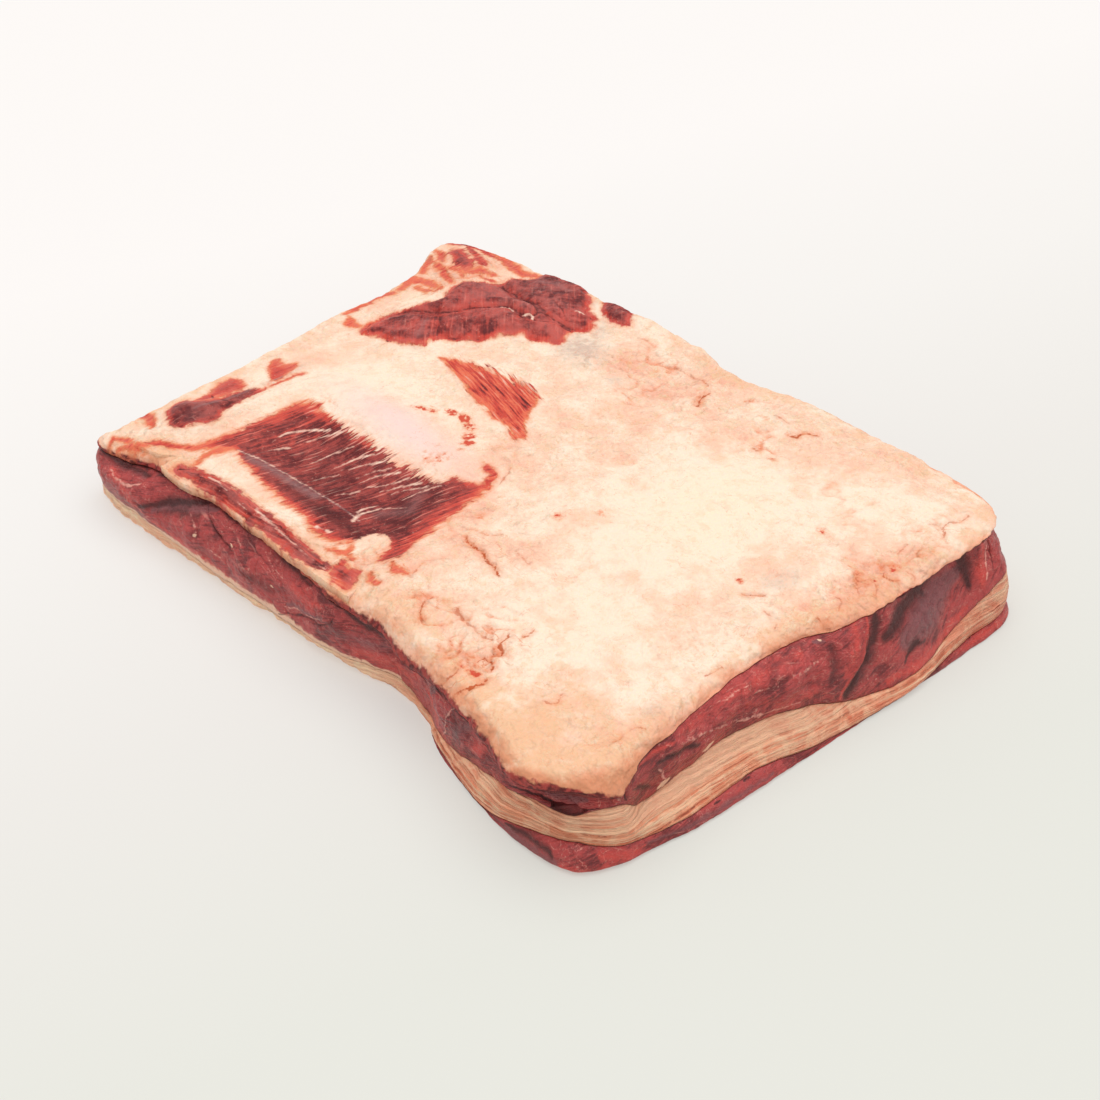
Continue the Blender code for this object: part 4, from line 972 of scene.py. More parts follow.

# Marks on the muscles' sides: kind, half width mm, relief mm, strength, (distance round, share up).
# the dark marks are partly dark flesh and partly painted shade under the cap's lip and in folds and hollows;
# the slit marks are painted shade in slits
sideMarks = (
    ("dark", 5.5, -1.0, 0.9, ((2, 0.98), (16, 0.96), (34, 0.9), (48, 0.86))),
    ("silver", 4.0, 0.2, 0.5, ((20, 0.9), (34, 0.86), (46, 0.8))),
    ("red", 3.5, 0.3, 0.9, ((24, 0.72), (34, 0.55), (44, 0.42))),
    ("pale", 0.9, 0.3, 0.9, ((24, 0.7), (33, 0.6), (44, 0.6), (47, 0.68))),
    ("pale", 0.6, 0.1, 0.7, ((36, 0.55), (40, 0.35), (41, 0.12))),
    ("red", 3.0, 0.0, 0.8, ((36, 0.45), (44, 0.3), (52, 0.22))),
    ("dark", 2.6, -0.8, 1.0, ((96, 0.97), (110, 0.95), (124, 0.92))),
    ("dark", 4.2, -2.0, 1.0, ((50, 0.28), (62, 0.5), (78, 0.74), (94, 0.95))),
    ("silver", 4.5, 0.6, 0.9, ((60, 0.36), (72, 0.58), (88, 0.78), (100, 0.88))),
    ("dark", 5.0, -0.4, 0.6, ((64, 0.36), (76, 0.55), (92, 0.7))),
    ("slit", 0.9, -1.6, 0.75, ((92, 0.9), (97, 0.76), (103, 0.64), (112, 0.55), (122, 0.49))),
    ("slit", 0.7, -1.0, 0.6, ((118, 0.95), (128, 0.82), (142, 0.7), (152, 0.6))),
    ("cream", 0.9, 0.6, 1.0, ((92, 0.42), (95, 0.45))), ("cream", 0.7, 0.5, 1.0, ((119, 0.58), (121, 0.55))),
    ("pale", 0.8, 0.3, 0.5, ((84, 0.72), (90, 0.58), (94, 0.46))),
    ("pale", 0.7, 0.2, 0.5, ((121, 0.55), (128, 0.46), (136, 0.42))),
    ("pale", 0.5, 0.1, 0.6, ((108, 0.8), (120, 0.72), (130, 0.62))),
    ("pale", 0.5, 0.1, 0.6, ((136, 0.86), (146, 0.74), (160, 0.66))),
    ("pale", 0.4, 0.1, 0.6, ((98, 0.35), (112, 0.28), (126, 0.24))),
    ("cream", 0.6, 0.3, 1.0, ((149, 0.4), (152, 0.38))),
    ("red", 2.4, 0.0, 0.9, ((60, 0.14), (85, 0.12), (112, 0.08), (140, 0.07))),
    ("dark", 4.0, -0.4, 0.45, ((126, 0.34), (146, 0.36), (160, 0.44))),
    ("cream", 3.0, 0.0, 1.0, ((8, 0.0), (60, 0.0), (110, 0.02), (170, 0.0), (228, 0.0))),
    ("slit", 0.9, -1.6, 0.75, ((154, 0.05), (166, 0.18), (178, 0.3), (190, 0.42), (194, 0.56), (196, 0.72))),
    ("silver", 2.0, 0.5, 0.7, ((160, 0.26), (172, 0.38), (184, 0.47), (190, 0.58))),
    ("pale", 0.5, 0.3, 0.9, ((158, 0.2), (170, 0.32), (182, 0.42), (189, 0.54))),
    ("red", 5.0, 0.2, 0.6, ((166, 0.66), (176, 0.6), (186, 0.7))),
    ("dark", 4.5, -0.6, 0.8, ((140, 0.98), (158, 0.92), (176, 0.9))),
    ("silver", 6.0, 0.0, 0.5, ((200, 0.35), (212, 0.42), (226, 0.5))),
    ("dark", 6.0, -0.6, 1.0, ((202, 0.92), (214, 0.8), (228, 0.82), (240, 0.86))),
    ("red", 5.0, 0.3, 0.7, ((204, 0.18), (222, 0.2), (238, 0.2))),
    ("red", 3.0, 0.3, 0.9, ((238, 0.3), (244, 0.45), (246, 0.6))),
    ("dark", 5.0, -1.2, 1.0, ((246, 0.95), (253, 0.65), (260, 0.42))),
    ("red", 4.0, 0.0, 0.8, ((250, 0.35), (258, 0.2), (268, 0.12))),
    ("silver", 2.2, 0.6, 1.0, ((270, 0.98), (267, 0.75), (264, 0.52))),
    ("pale", 0.8, 0.8, 0.9, ((272, 0.05), (279, 0.3), (281, 0.6), (285, 0.98))),
    ("silver", 6.0, 0.0, 0.6, ((286, 0.25), (292, 0.6), (298, 0.9))),
    ("dark", 3.0, -0.4, 0.6, ((284, 0.9), (288, 0.5), (290, 0.2))),
    ("red", 5.0, 0.2, 0.8, ((300, 0.3), (306, 0.5), (310, 0.75))),
    ("dark", 4.0, -0.6, 0.8, ((310, 0.95), (316, 0.6), (322, 0.3))),
    ("slit", 1.3, -2.0, 1.0, ((324, 0.08), (350, 0.09), (378, 0.05))),
    ("silver", 4.5, 0.4, 0.9, ((330, 0.3), (350, 0.26), (372, 0.24))),
    ("dark", 5.0, -0.8, 1.0, ((322, 0.65), (350, 0.62), (382, 0.7))),
    ("red", 2.0, 1.0, 0.9, ((384, 0.9), (385, 0.5), (386, 0.1))),
    ("pale", 0.7, 0.6, 0.8, ((386, 0.95), (387, 0.5), (386, 0.1))),
    ("slit", 1.2, -1.4, 1.0, ((390, 0.98), (391, 0.5), (393, 0.12))),
    ("pale", 0.9, 0.5, 0.8, ((411, 0.55), (416, 0.22), (421, 0.05))),
    ("pale", 0.8, 0.8, 0.5, ((413, 0.92), (425, 0.66), (440, 0.5), (452, 0.34), (464, 0.2), (474, 0.1))),
    ("dark", 3.4, -1.0, 0.9, ((411, 0.62), (424, 0.52), (438, 0.32))),
    ("dark", 2.6, -0.5, 0.35, ((442, 0.46), (450, 0.42), (460, 0.3))),
    ("dark", 3.0, -0.8, 0.8, ((396, 0.45), (404, 0.3), (410, 0.15))),
    ("cream", 2.6, 0.2, 0.8, ((414, 0.05), (420, 0.08))),
    ("cream", 2.0, 0.2, 0.8, ((442, 0.08), (448, 0.1))),
    ("dark", 1.5, -0.6, 0.3, ((452, 0.33), (470, 0.28), (486, 0.36), (506, 0.3))),
    ("pale", 0.7, 0.3, 0.8, ((455, 0.2), (475, 0.13), (500, 0.1))),
    ("pale", 0.8, 0.3, 0.45, ((484, 0.66), (498, 0.58), (513, 0.66))),
    ("pale", 0.6, 0.2, 0.7, ((440, 0.86), (456, 0.78), (470, 0.74))),
    ("pale", 0.5, 0.2, 0.7, ((462, 0.62), (478, 0.54), (490, 0.52))),
    ("red", 6.0, 0.3, 0.45, ((426, 0.82), (460, 0.74), (500, 0.8))),
    ("red", 3.0, 0.3, 0.9, ((402, 0.9), (412, 0.85), (422, 0.8))),
    ("red", 4.0, 0.2, 0.4, ((466, 0.45), (488, 0.2), (508, 0.2))),
    ("silver", 2.0, 0.7, 1.0, ((509, 0.88), (514, 0.86))),
    ("cream", 0.8, 0.3, 0.9, ((511, 0.9), (513, 0.88))),
    ("red", 1.8, 1.6, 1.2, ((538, 1.0), (537, 0.75), (530, 0.5), (522, 0.28), (517, 0.06))),
    ("red", 4.0, 0.6, 0.6, ((531, 1.0), (528, 0.7), (520, 0.36))),
    ("dark", 5.0, -0.5, 0.6, ((516, 0.8), (515, 0.5), (512, 0.3))),
    ("dark", 6.5, -1.5, 1.0, ((543, 0.95), (541, 0.7), (535, 0.48), (527, 0.3), (521, 0.1))),
    ("slit", 0.9, -0.6, 0.7, ((536, 0.5), (527, 0.3), (520, 0.1))),
    ("silver", 9.0, 1.0, 1.1, ((556, 0.38), (578, 0.46), (602, 0.54))),
    ("dark", 8.0, -1.2, 1.1, ((546, 0.55), (562, 0.74), (584, 0.86), (608, 0.92))),
    ("dark", 2.2, -1.2, 0.9, ((556, 0.18), (562, 0.26), (570, 0.22))),
    ("red", 2.4, 0.2, 0.9, ((544, 0.08), (575, 0.05), (604, 0.07))),
    ("dark", 6.5, -1.2, 1.15, ((604, 0.95), (607, 0.6), (608, 0.25))),
    ("red", 5.0, 0.8, 1.0, ((619, 0.98), (618, 0.6), (615, 0.15))),
    ("pale", 0.9, 0.3, 0.8, ((626, 0.9), (623, 0.5), (617, 0.15))),
    ("slit", 0.8, -1.0, 0.7, ((630, 0.85), (629, 0.5), (624, 0.2))),
)
lowerMarks = (
    # the dark marks are partly dark flesh and partly painted shade in hollows; the slit marks are painted
    # shade in slits
    ("silver", 4.0, 0.0, 0.7, ((322, 0.55), (340, 0.35), (358, 0.3))),
    ("dark", 2.4, 0.0, 0.9, ((328, 0.8), (340, 0.75), (352, 0.6), (356, 0.45))),
    ("dark", 3.0, 0.0, 0.6, ((300, 0.6), (312, 0.5), (322, 0.6))),
    ("red", 2.5, 0.0, 0.9, ((360, 0.15), (372, 0.1), (384, 0.2))),
    ("red", 3.0, 0.0, 0.7, ((378, 0.7), (388, 0.5), (398, 0.6))),
    ("pale", 0.5, 0.0, 0.4, ((366, 0.4), (372, 0.3), (378, 0.36))),
    ("slit", 0.7, 0.0, 0.9, ((436, 0.9), (441, 0.85))), ("slit", 0.7, 0.0, 0.9, ((455, 0.95), (460, 0.9))),
    ("silver", 3.0, 0.0, 0.6, ((400, 0.7), (430, 0.5), (470, 0.5))),
    ("red", 3.0, 0.0, 1.0, ((598, 0.6), (614, 0.7), (632, 0.5))),
    ("silver", 3.0, 0.0, 0.5, ((560, 0.5), (585, 0.3), (605, 0.2))),
)


markKinds = ("dark", "slit", "silver", "pale", "cream", "red")


# Closeness to the marks of each kind, 1 at a mark's middle and 0 at its edge, and their relief.
def markMeasures(distance, up, height, marks):
    kinds = {kind: np.full(distance.shape, -1.0) for kind in markKinds}
    relief = np.zeros(distance.shape)
    across = up * height
    wobbleX, wobbleY = 0.8 * grain(distance, across, 5.0, 5.0), 0.8 * grain(distance, across, 9.0, 5.0)
    for kind, halfWidth, rise, strength, points in marks:
        places = np.array(points, float) * np.array([1.0, height])
        near = nearTo(distance, across, places, 4 * halfWidth + 3)
        line = curveThrough(places, 4 * len(places))
        away, share, _ = fromLine((distance + wobbleX)[near], (across + wobbleY)[near], line)
        taper = 0.45 + 0.55 * np.sin(math.pi * share)
        value = strength * (1 - away / (halfWidth * taper))
        kinds[kind][near] = np.maximum(kinds[kind][near], np.clip(value, -1, 1))
        relief[near] += rise * taper * np.exp(-((away / (halfWidth * 0.9)) ** 2))
    return kinds, relief


# Measures on a side's rings, with -1 for the marks and 0 for the rest on the hidden points after them.
def paintSide(piece, distance, up, others, marks):
    place = np.mod(distance - stationMarks[slab["corners"][3]], loopLength)
    # 1 where the count along the side starts again, falling to 0 within a few millimetres
    joint = np.exp(-((np.minimum(place, loopLength - place) / 3.0) ** 2))
    for values, hidden in (({"along": place, "up": up, "joint": joint, **others}, 0.0), (marks, -1.0)):
        rest = np.full(len(piece.data.vertices) - distance.size, hidden)
        addMeasures(piece, {name: np.concatenate([value.ravel(), rest]) for name, value in values.items()})


# The upper muscle: a quarter round from the seam's line to the cap's, swollen, bulged and marked.
def makeUpperMuscle():
    side, roundness, sideHeight = fineSide, muscleForm["roundness"], muscleForm["sideHeight"]
    seamLine, upperLine = side.line(*side.seam.T), side.line(*side.upper.T)
    share = np.linspace(0, 1, muscleForm["rings"])
    rise = blendOf(share, np.sin(share * math.pi / 2), roundness)
    reach = blendOf(share, 1 - np.cos(share * math.pi / 2), roundness)
    rings = seamLine + (upperLine - seamLine) * np.stack([reach, reach, rise], -1)[:, None]
    x, y, z = np.moveaxis(rings, -1, 0)
    fold = muscleForm["fold"] * lumps(x + y, z, muscleForm["foldLength"], seed=9)
    arch = np.sin(math.pi * share)[:, None]
    rings = rings + side.outward * ((side.swell + fold) * arch**1.15)[..., None]
    rings[-1, :, 2] -= slab["layerGap"]
    distance, up = np.broadcast_arrays(side.distance, share[:, None])
    kinds, relief = markMeasures(distance, up, sideHeight, sideMarks)
    relief = relief + spotMap(distance, up, sideBulges, np.add)
    x, y, z = np.moveaxis(rings, -1, 0)
    groovesAndShade = bandOf(layered(x, y, z * 1.3 + 40, 13, 2), 0.22)
    bundles = 0.95 * layered(x, y, z * 1.5, 11, 3) + 0.3 * grain(x, y, z, 2.4) - 0.6 * groovesAndShade
    threads = 0.2 * grain(distance * 0.3, up * sideHeight + 0.2 * distance, 2.0, 1.6)
    rings = pushedOut(rings, (bundles + threads + relief - 0.2) * arch**0.8)
    # painted shade under the cap's lip, near the top of the side, and in the grooves between bundles, laid
    # into the dark marks
    lipShade = 0.75 * (1 - 0.9 * flushShare(distance)) * smoothStep((up - 0.84) / 0.14)
    kinds["dark"] = np.maximum(kinds["dark"], lipShade + 0.5 * groovesAndShade - 0.2)
    under = side.coarse(side.face(seamLine, seamHeight))
    upper = lifted(side.coarse(side.face(upperLine, capUnderHeight)), -slab["layerGap"])
    piece, _ = closedPiece("upper_muscle_side", rings, under, upper, side.perCell)
    paintSide(piece, distance, up * sideHeight, {}, kinds)
    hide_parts("upper_muscle")
    return piece


# The seam fat's under face: flat on the floor, and over the lower muscle raised to its top.
def seamUnderFace(side):
    column = np.repeat(side.columns[:, None] * slab["cellsAlong"], len(side.rows), axis=1)
    over = gridEdge(column)[:, None] >= lowerForm["start"] - 1e-6
    line = np.where(over, side.line(*side.lower.T), side.line(slab["contactInset"], 0.0))
    run = smoothStep((column - lowerForm["start"]) / lowerForm["run"])
    face = side.face(line, lambda x, y: blendOf(lowerForm["endHeight"], lowerForm["topHeight"], run))
    face[: lowerForm["start"] * side.perCell, :, 2] = 0.0
    return face, line, over


# The seam fat: a curve from its under line to its upper line, with long strands and soft lumps.
def makeSeamFat():
    side = fineSide
    under, line, over = seamUnderFace(side)
    seamLine = side.line(*side.seam.T)
    upper = lifted(side.coarse(side.face(seamLine, seamHeight)), -slab["layerGap"])
    seamLine = lifted(seamLine, -slab["layerGap"])
    inset, height = side.seam.T
    controls = [line]
    for share, leanBack in ((0.22, 0.0), (0.7, 0.7)):
        onMuscle = line + (seamLine - line) * share + side.outward * seamForm["swell"]
        controls.append(np.where(over, onMuscle, side.line(inset * leanBack, height * share)))
    controls.append(seamLine)
    share = np.linspace(0, 1, seamForm["rings"])
    rings = throughPoints(controls, share, np.array([0, 0.22, 0.7, 1.0]))
    distance, part = np.broadcast_arrays(side.distance, share[:, None])
    x, y, z = np.moveaxis(rings, -1, 0)
    up = part * np.clip(height, 4, 30)
    drifted = up + 2.2 * layered(distance, up * 0.5, 3.0, 60, 2)
    strands = 0.45 * grain(distance * 0.06, drifted, 4.0, 1.5)
    strands = strands + 0.3 * grain(distance * 0.04, drifted, 8.0, 3.2)
    thin = 1 - smoothStep((distance - seamForm["thinUntil"]) / seamForm["thinRun"])
    lumpy = 0.8 * layered(x, y, z, 12, 3) - 0.35 + thin * (0.35 + 1.1 * layered(x, y, z, 7, 2))
    rings = pushedOut(rings, (strands + lumpy) * (np.sin(math.pi * share)[:, None] ** 0.5))
    rings[..., 2] = np.maximum(rings[..., 2], 0.0)
    piece, _ = closedPiece("seam_fat_layer", rings, side.coarse(under), upper, side.perCell)

    def closeness(centre, radius):
        return np.exp(-(((distance - centre) / radius) ** 2))

    paintSide(piece, distance, drifted, {
        "smooth": sum(strength * closeness(centre, radius) * smoothStep((part - level) / 0.15)
                      for centre, radius, level, strength in seamForm["smoothPlaces"]),
        "pinkness": sum(strength * closeness(centre, radius)
                        for centre, radius, strength in seamForm["pinkPlaces"]),
        "lit": thin,
        "edgeRed": (1 - thin) * (0.5 * np.exp(-(((1 - part) / 0.12) ** 2))
                                 + 0.6 * np.exp(-((part / 0.10) ** 2))),
    }, {})
    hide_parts("seam_fat")
    return piece


# The lower muscle: the part of the slab past its start, leaning back from the floor to the seam fat.
def makeLowerMuscle():
    side, sideHeight = fineSide, lowerForm["sideHeight"]
    start = lowerForm["start"] * side.perCell
    upper = lifted(seamUnderFace(side)[0][start:], -slab["layerGap"])
    under = side.filled(side.line(slab["contactInset"], 0.0))[start:]
    under[0, 1:-1, :2] = upper[0, 1:-1, :2]
    under[..., 2] = 0.0
    inset, height = side.lower.T
    low, high = gridEdge(under), gridEdge(upper)
    # the point of the slab's side that each point round the piece is, or -1 at its hidden end
    shape = (len(side.columns), len(side.rows))
    numbers = np.full(shape, -1).ravel()
    numbers[gridEdge(np.arange(numbers.size).reshape(shape))] = np.arange(len(side.base))
    number = gridEdge(numbers.reshape(shape)[start:])
    outside = number >= 0
    controls = [low]
    for share, leanBack in ((0.14, 0.0), (0.45, 0.1), (0.8, 0.5)):
        ring = low + (high - low) * share
        ring[outside] = side.line(inset * leanBack, height * share)[number[outside]]
        controls.append(ring)
    controls.append(high)
    share = np.linspace(0, 1, lowerForm["rings"])
    rings = throughPoints(controls, share, np.array([0, 0.14, 0.45, 0.8, 1.0]))
    x, y, z = np.moveaxis(rings, -1, 0)
    bundles = 0.4 * layered(x, y, z * 1.5, 10, 3) + 0.14 * grain(x, y, z, 2.2)
    rings = pushedOut(rings, bundles * outside * (np.sin(math.pi * share)[:, None] ** 0.5))
    rings[..., 2] = np.maximum(rings[..., 2], 0.0)
    piece, _ = closedPiece("lower_muscle_side", rings, side.coarse(under), side.coarse(upper), side.perCell)
    distance = np.where(outside, side.distance[np.maximum(number, 0)], 0.0)
    distance, up = np.broadcast_arrays(distance, share[:, None])
    kinds, _ = markMeasures(distance, up, sideHeight, lowerMarks)
    paintSide(piece, distance, up * sideHeight, {}, kinds)
    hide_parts("lower_muscle")
    return piece


cap = makeCap()
print("cap made")
skins = {name: makeSkin(name) for name in leanSkins}
print("lean skins made")
upperMuscle = makeUpperMuscle()
seamFat = makeSeamFat()
lowerMuscle = makeLowerMuscle()
print("layers made")


# A socket that adds nodes when it is used in an expression.
class Wire:
    def __init__(self, tree, socket=None):
        self.tree = tree
        self.socket = socket

    def node(self, kind, settings=None, values=None, output=0):
        made = self.tree.nodes.new(kind)
        for key, value in (settings or {}).items():
            setattr(made, key, value)
        for place, value in (values or {}).items():
            if isinstance(value, Wire):
                self.tree.links.new(value.socket, made.inputs[place])
            else:
                made.inputs[place].default_value = value
        return Wire(self.tree, made.outputs[output])

    def maths(self, operation, *values):
        return self.node("ShaderNodeMath", {"operation": operation}, dict(enumerate(values)))

    def __add__(self, other):
        return self.maths("ADD", self, other)

    def __mul__(self, other):
        return self.maths("MULTIPLY", self, other)

    def __sub__(self, other):
        return self.maths("SUBTRACT", self, other)

    def __rsub__(self, other):
        return self.maths("SUBTRACT", other, self)

    def __abs__(self):
        return self.maths("ABSOLUTE", self)

    __radd__, __rmul__ = __add__, __mul__

    # 0 below low, 1 above high, smooth between; low may be above high.
    def step(self, low, high, start=0.0, stop=1.0):
        return self.node("ShaderNodeMapRange", {"interpolation_type": "SMOOTHSTEP"},
                         {0: self, 1: low, 2: high, 3: start, 4: stop})

    def measure(self, name):
        return self.node("ShaderNodeAttribute", {"attribute_name": name}, output="Fac")

    # The distance round the slab and the height on its side, in metres.
    def onSide(self):
        along, up = (self.measure(name) * mm for name in ("along", "up"))
        return self.node("ShaderNodeCombineXYZ", {}, {0: along, 1: up})

    # Noise about zero, of a grain size in metres.
    def noise(self, size, detail=3.0, roughness=0.55, distortion=0.0):
        return self.node("ShaderNodeTexNoise", {}, {
            "Vector": self, "Scale": 1.0 / size, "Detail": detail,
            "Roughness": roughness, "Distortion": distortion}) - 0.5

    # The place in units of a length along a direction of the plan and one across it.
    def stretched(self, turn, along, across):
        return self.node("ShaderNodeMapping", {"vector_type": "TEXTURE"}, {
            "Vector": self, "Rotation": (0, 0, math.radians(turn)), "Scale": (along, across, 1.0)})


def mixed(share, first, second):
    return share.node("ShaderNodeMix", {"data_type": "RGBA", "clamp_factor": True}, {
        0: share, 6: first if isinstance(first, Wire) else (*first, 1.0),
        7: second if isinstance(second, Wire) else (*second, 1.0)}, output=2)


def mixedValue(share, first, second):
    return share.node("ShaderNodeMix", {"data_type": "FLOAT", "clamp_factor": True},
                      {0: share, 2: first, 3: second})


# Colours of a finish laid one over the other, each by its own share.
def overlaid(finish, colour, *layers):
    for share, name in layers:
        colour = mixed(share, colour, finish[name])
    return colour


# A colour as it looks on screen, 0 to 255, as the light it reflects.
def reflects(red, green, blue, light=1.0):
    return tuple((c / 12.92 if c <= 0.04045 else ((c + 0.055) / 1.055) ** 2.4) / light
                 for c in (red / 255, green / 255, blue / 255))


# Light that reaches the top and the sides, 1 being a white surface shown white.
topLight, sideLight = 1.08, 0.85


# Colours by name, under one light.
def shades(light, /, **colours):
    return {name: reflects(*colour, light) for name, colour in colours.items()}


# How light enters a wet surface and shines off it.
def wetness(subsurface, green, blue, depth, shine, **coat):
    return {"Subsurface Weight": subsurface, "Subsurface Radius": (1.0, green, blue),
            "Subsurface Scale": depth, "IOR": 1.4, "Specular IOR Level": shine, **coat}


# A new finish: the material, its shader, a start for its nodes, and the place on the piece.
def newMaterial(name, wet):
    material = bpy.data.materials.new(name)
    material.use_nodes = True
    shader = material.node_tree.nodes["Principled BSDF"]
    for key, value in wet.items():
        shader.inputs[key].default_value = value
    start = Wire(material.node_tree)
    return material, shader, start, start.node("ShaderNodeTexCoord", output="Object")


def finishMaterial(shader, colour, roughness, height, depth):
    bump = colour.node("ShaderNodeBump", {}, {"Height": height, "Distance": depth, "Strength": 1.0})
    for wire, socket in ((colour, "Base Color"), (roughness, "Roughness"), (bump, "Normal")):
        colour.tree.links.new(wire.socket, shader.inputs[socket])


capFinish = {
    **shades(topLight, cream=(253, 230, 206), peach=(251, 208, 180), pink=(244, 182, 154),
             butter=(254, 232, 204), amber=(242, 190, 148), tan=(236, 192, 148), white=(255, 237, 213),
             lilac=(246, 214, 204), stain=(214, 184, 166), orange=(236, 142, 100), deep=(200, 98, 54),
             red=(214, 84, 60), leanDark=(102, 30, 31), leanMid=(158, 60, 54), leanBright=(212, 74, 60),
             leanOrange=(242, 122, 88), leanPale=(240, 190, 170), leanDull=(196, 112, 104),
             silver=(150, 108, 106), shadow=(74, 20, 22)),
    **shades(sideLight, lip=(206, 134, 98), rim=(226, 152, 122), underDark=(92, 36, 36),
             underRed=(160, 66, 60)),
    "wet": wetness(0.1, 0.4, 0.25, 0.0016, 0.24),
    "relief": 0.0024,      # metres
}


def capMaterial(name, fibreTurn, fibreShare, dullness):
    finish = capFinish
    material, shader, start, place = newMaterial(name, finish["wet"])
    broad = place.noise(0.028, 4.0, 0.55)
    patchy = place.noise(0.010, 5.0, 0.6, 0.4)
    mottled = place.noise(0.0048, 4.0, 0.6, 0.6)
    small = place.noise(0.0024, 4.0, 0.6)
    tiny = place.noise(0.0009, 3.0, 0.6)
    fibre = place.stretched(fibreTurn, 0.012, 0.0012).noise(1.0, 3.0, 0.6)
    coarse = place.stretched(fibreTurn + 6, 0.021, 0.0028).noise(1.0, 3.0, 0.6, 0.3)
    thread = place.stretched(fibreTurn + 4, 0.020, 0.0015).noise(1.0, 2.0, 0.5)
    depth, tone, rim, rimFlesh, cream, warm, gristle, feather, weight = (start.measure(name) for name in (
        "leanDepth", "leanTone", "rimShare", "rimFlesh", "cream", "warm", "lilac", "feather", "creaseWeight"))

    # the fat: cream to peach to pink, painted deeper in colour where it lies low and paler and whiter where
    # it stands up, painted shade and light that follow its relief
    blush = start.measure("blush") - cream * 0.8
    lively = blush.step(-0.3, 0.7, 0.35, 1.0)
    crumbAndShading = patchy * 1.1 + mottled * 1.0 + small * 0.6 - start.measure("reliefShading") * 0.16
    tint = blush + broad * 3.2 + patchy * 2.3 - crumbAndShading * lively * 2.0
    fat = overlaid(
        finish, finish["cream"],
        (tint.step(-0.35, 0.55), "peach"),
        (tint.step(0.35, 1.35), "pink"),
        ((warm + patchy * 2.0 + mottled * 1.4 + broad).step(0.1, 1.0) * 0.85, "amber"),
        ((cream + patchy * 1.2).step(0.1, 1.0) * 0.8, "butter"),
        ((mottled * 1.5 + patchy).step(0.03, 0.22) * lively * 0.6, "tan"),
        (crumbAndShading.step(0.04, 0.30) * lively * 0.36, "white"),
        (gristle + patchy * 0.6, "lilac"),
        ((start.measure("stain") * (1.0 + mottled * 2.0 + small * 0.8)).step(0.2, 1.2) * 0.85, "stain"))
    lively = lively * (1.0 - gristle)

    # wrinkle lines and fine vessels are narrow bands where a noise passes through its middle
    wrinkle = abs(place.noise(0.0085, 3.0, 0.62, 1.4)).step(0.020, 0.002)
    wrinkle = wrinkle * (mottled + patchy).step(-0.04, 0.10)
    vessel = abs(place.noise(0.017, 3.0, 0.62, 2.0)).step(0.009, 0.0) * (patchy - mottled).step(0.0, 0.10)
    # painted shade in the wrinkle grooves: orange, and deep in their deepest parts
    soft = start.measure("wrinkleShade") * (0.75 + patchy * 1.8 + small * 1.5)
    spots = start.measure("redSpots") * (1.0 + small * 3.4 + mottled * 2.2)
    aside = abs(start.measure("creaseSide")) + small * 2.0 + tiny * 1.2 + mottled * 2.0
    lip = (rim + patchy * 0.6).step(0.12, 0.5) * (warm + patchy * 0.8).step(0.45, 0.9)
    fat = overlaid(
        finish, fat,
        (wrinkle * lively * 0.38, "orange"),
        (vessel * 0.45, "orange"),
        ((mottled + small).step(0.16, 0.30) * broad.step(-0.04, 0.08) * lively * 0.45, "orange"),
        (soft.step(0.03, 0.8) * 0.75, "orange"),
        (soft.step(0.5, 1.0) * small.step(-0.04, 0.08) * 0.6, "deep"),
        (spots.step(0.2, 0.85) * 0.75, "orange"),
        (spots.step(0.65, 1.0), "red"),
        (aside.step(4.5, 0.0) * weight * (0.5 + mottled * 2.5), "orange"),
        (aside.step(0.6, 0.0) * (weight * 1.4 - 0.3), "deep"),
        ((rim + patchy * 0.8).step(0.15, 0.85) * 0.85, "rim"),
        (lip * 0.8, "lip"))

    # the edge's lower part is flesh, with a ragged line above it
    under = (rimFlesh + patchy * 0.6 + small * 0.12).step(0.0, 0.12)
    fleshSide = mixed((mottled + small * 0.7).step(-0.14, 0.12), finish["underDark"], finish["underRed"])
    fat = mixed(under, fat, fleshSide)

    # where lean begins: its depth combed by the fibres, the fat beside it stained orange
    edge = depth + (coarse * 3.2 + fibre * 1.6) * feather + mottled * 4.0 + small * 2.6
    halo = (edge + feather * 0.2).step(-3.2, 0.6) * (tone * 0.6 + 0.5) * feather.step(3.0, 8.0, 1.0, 0.55)
    fat = mixed(halo, fat, finish["orange"])
    leanShare = edge.step(-0.9, 0.9)

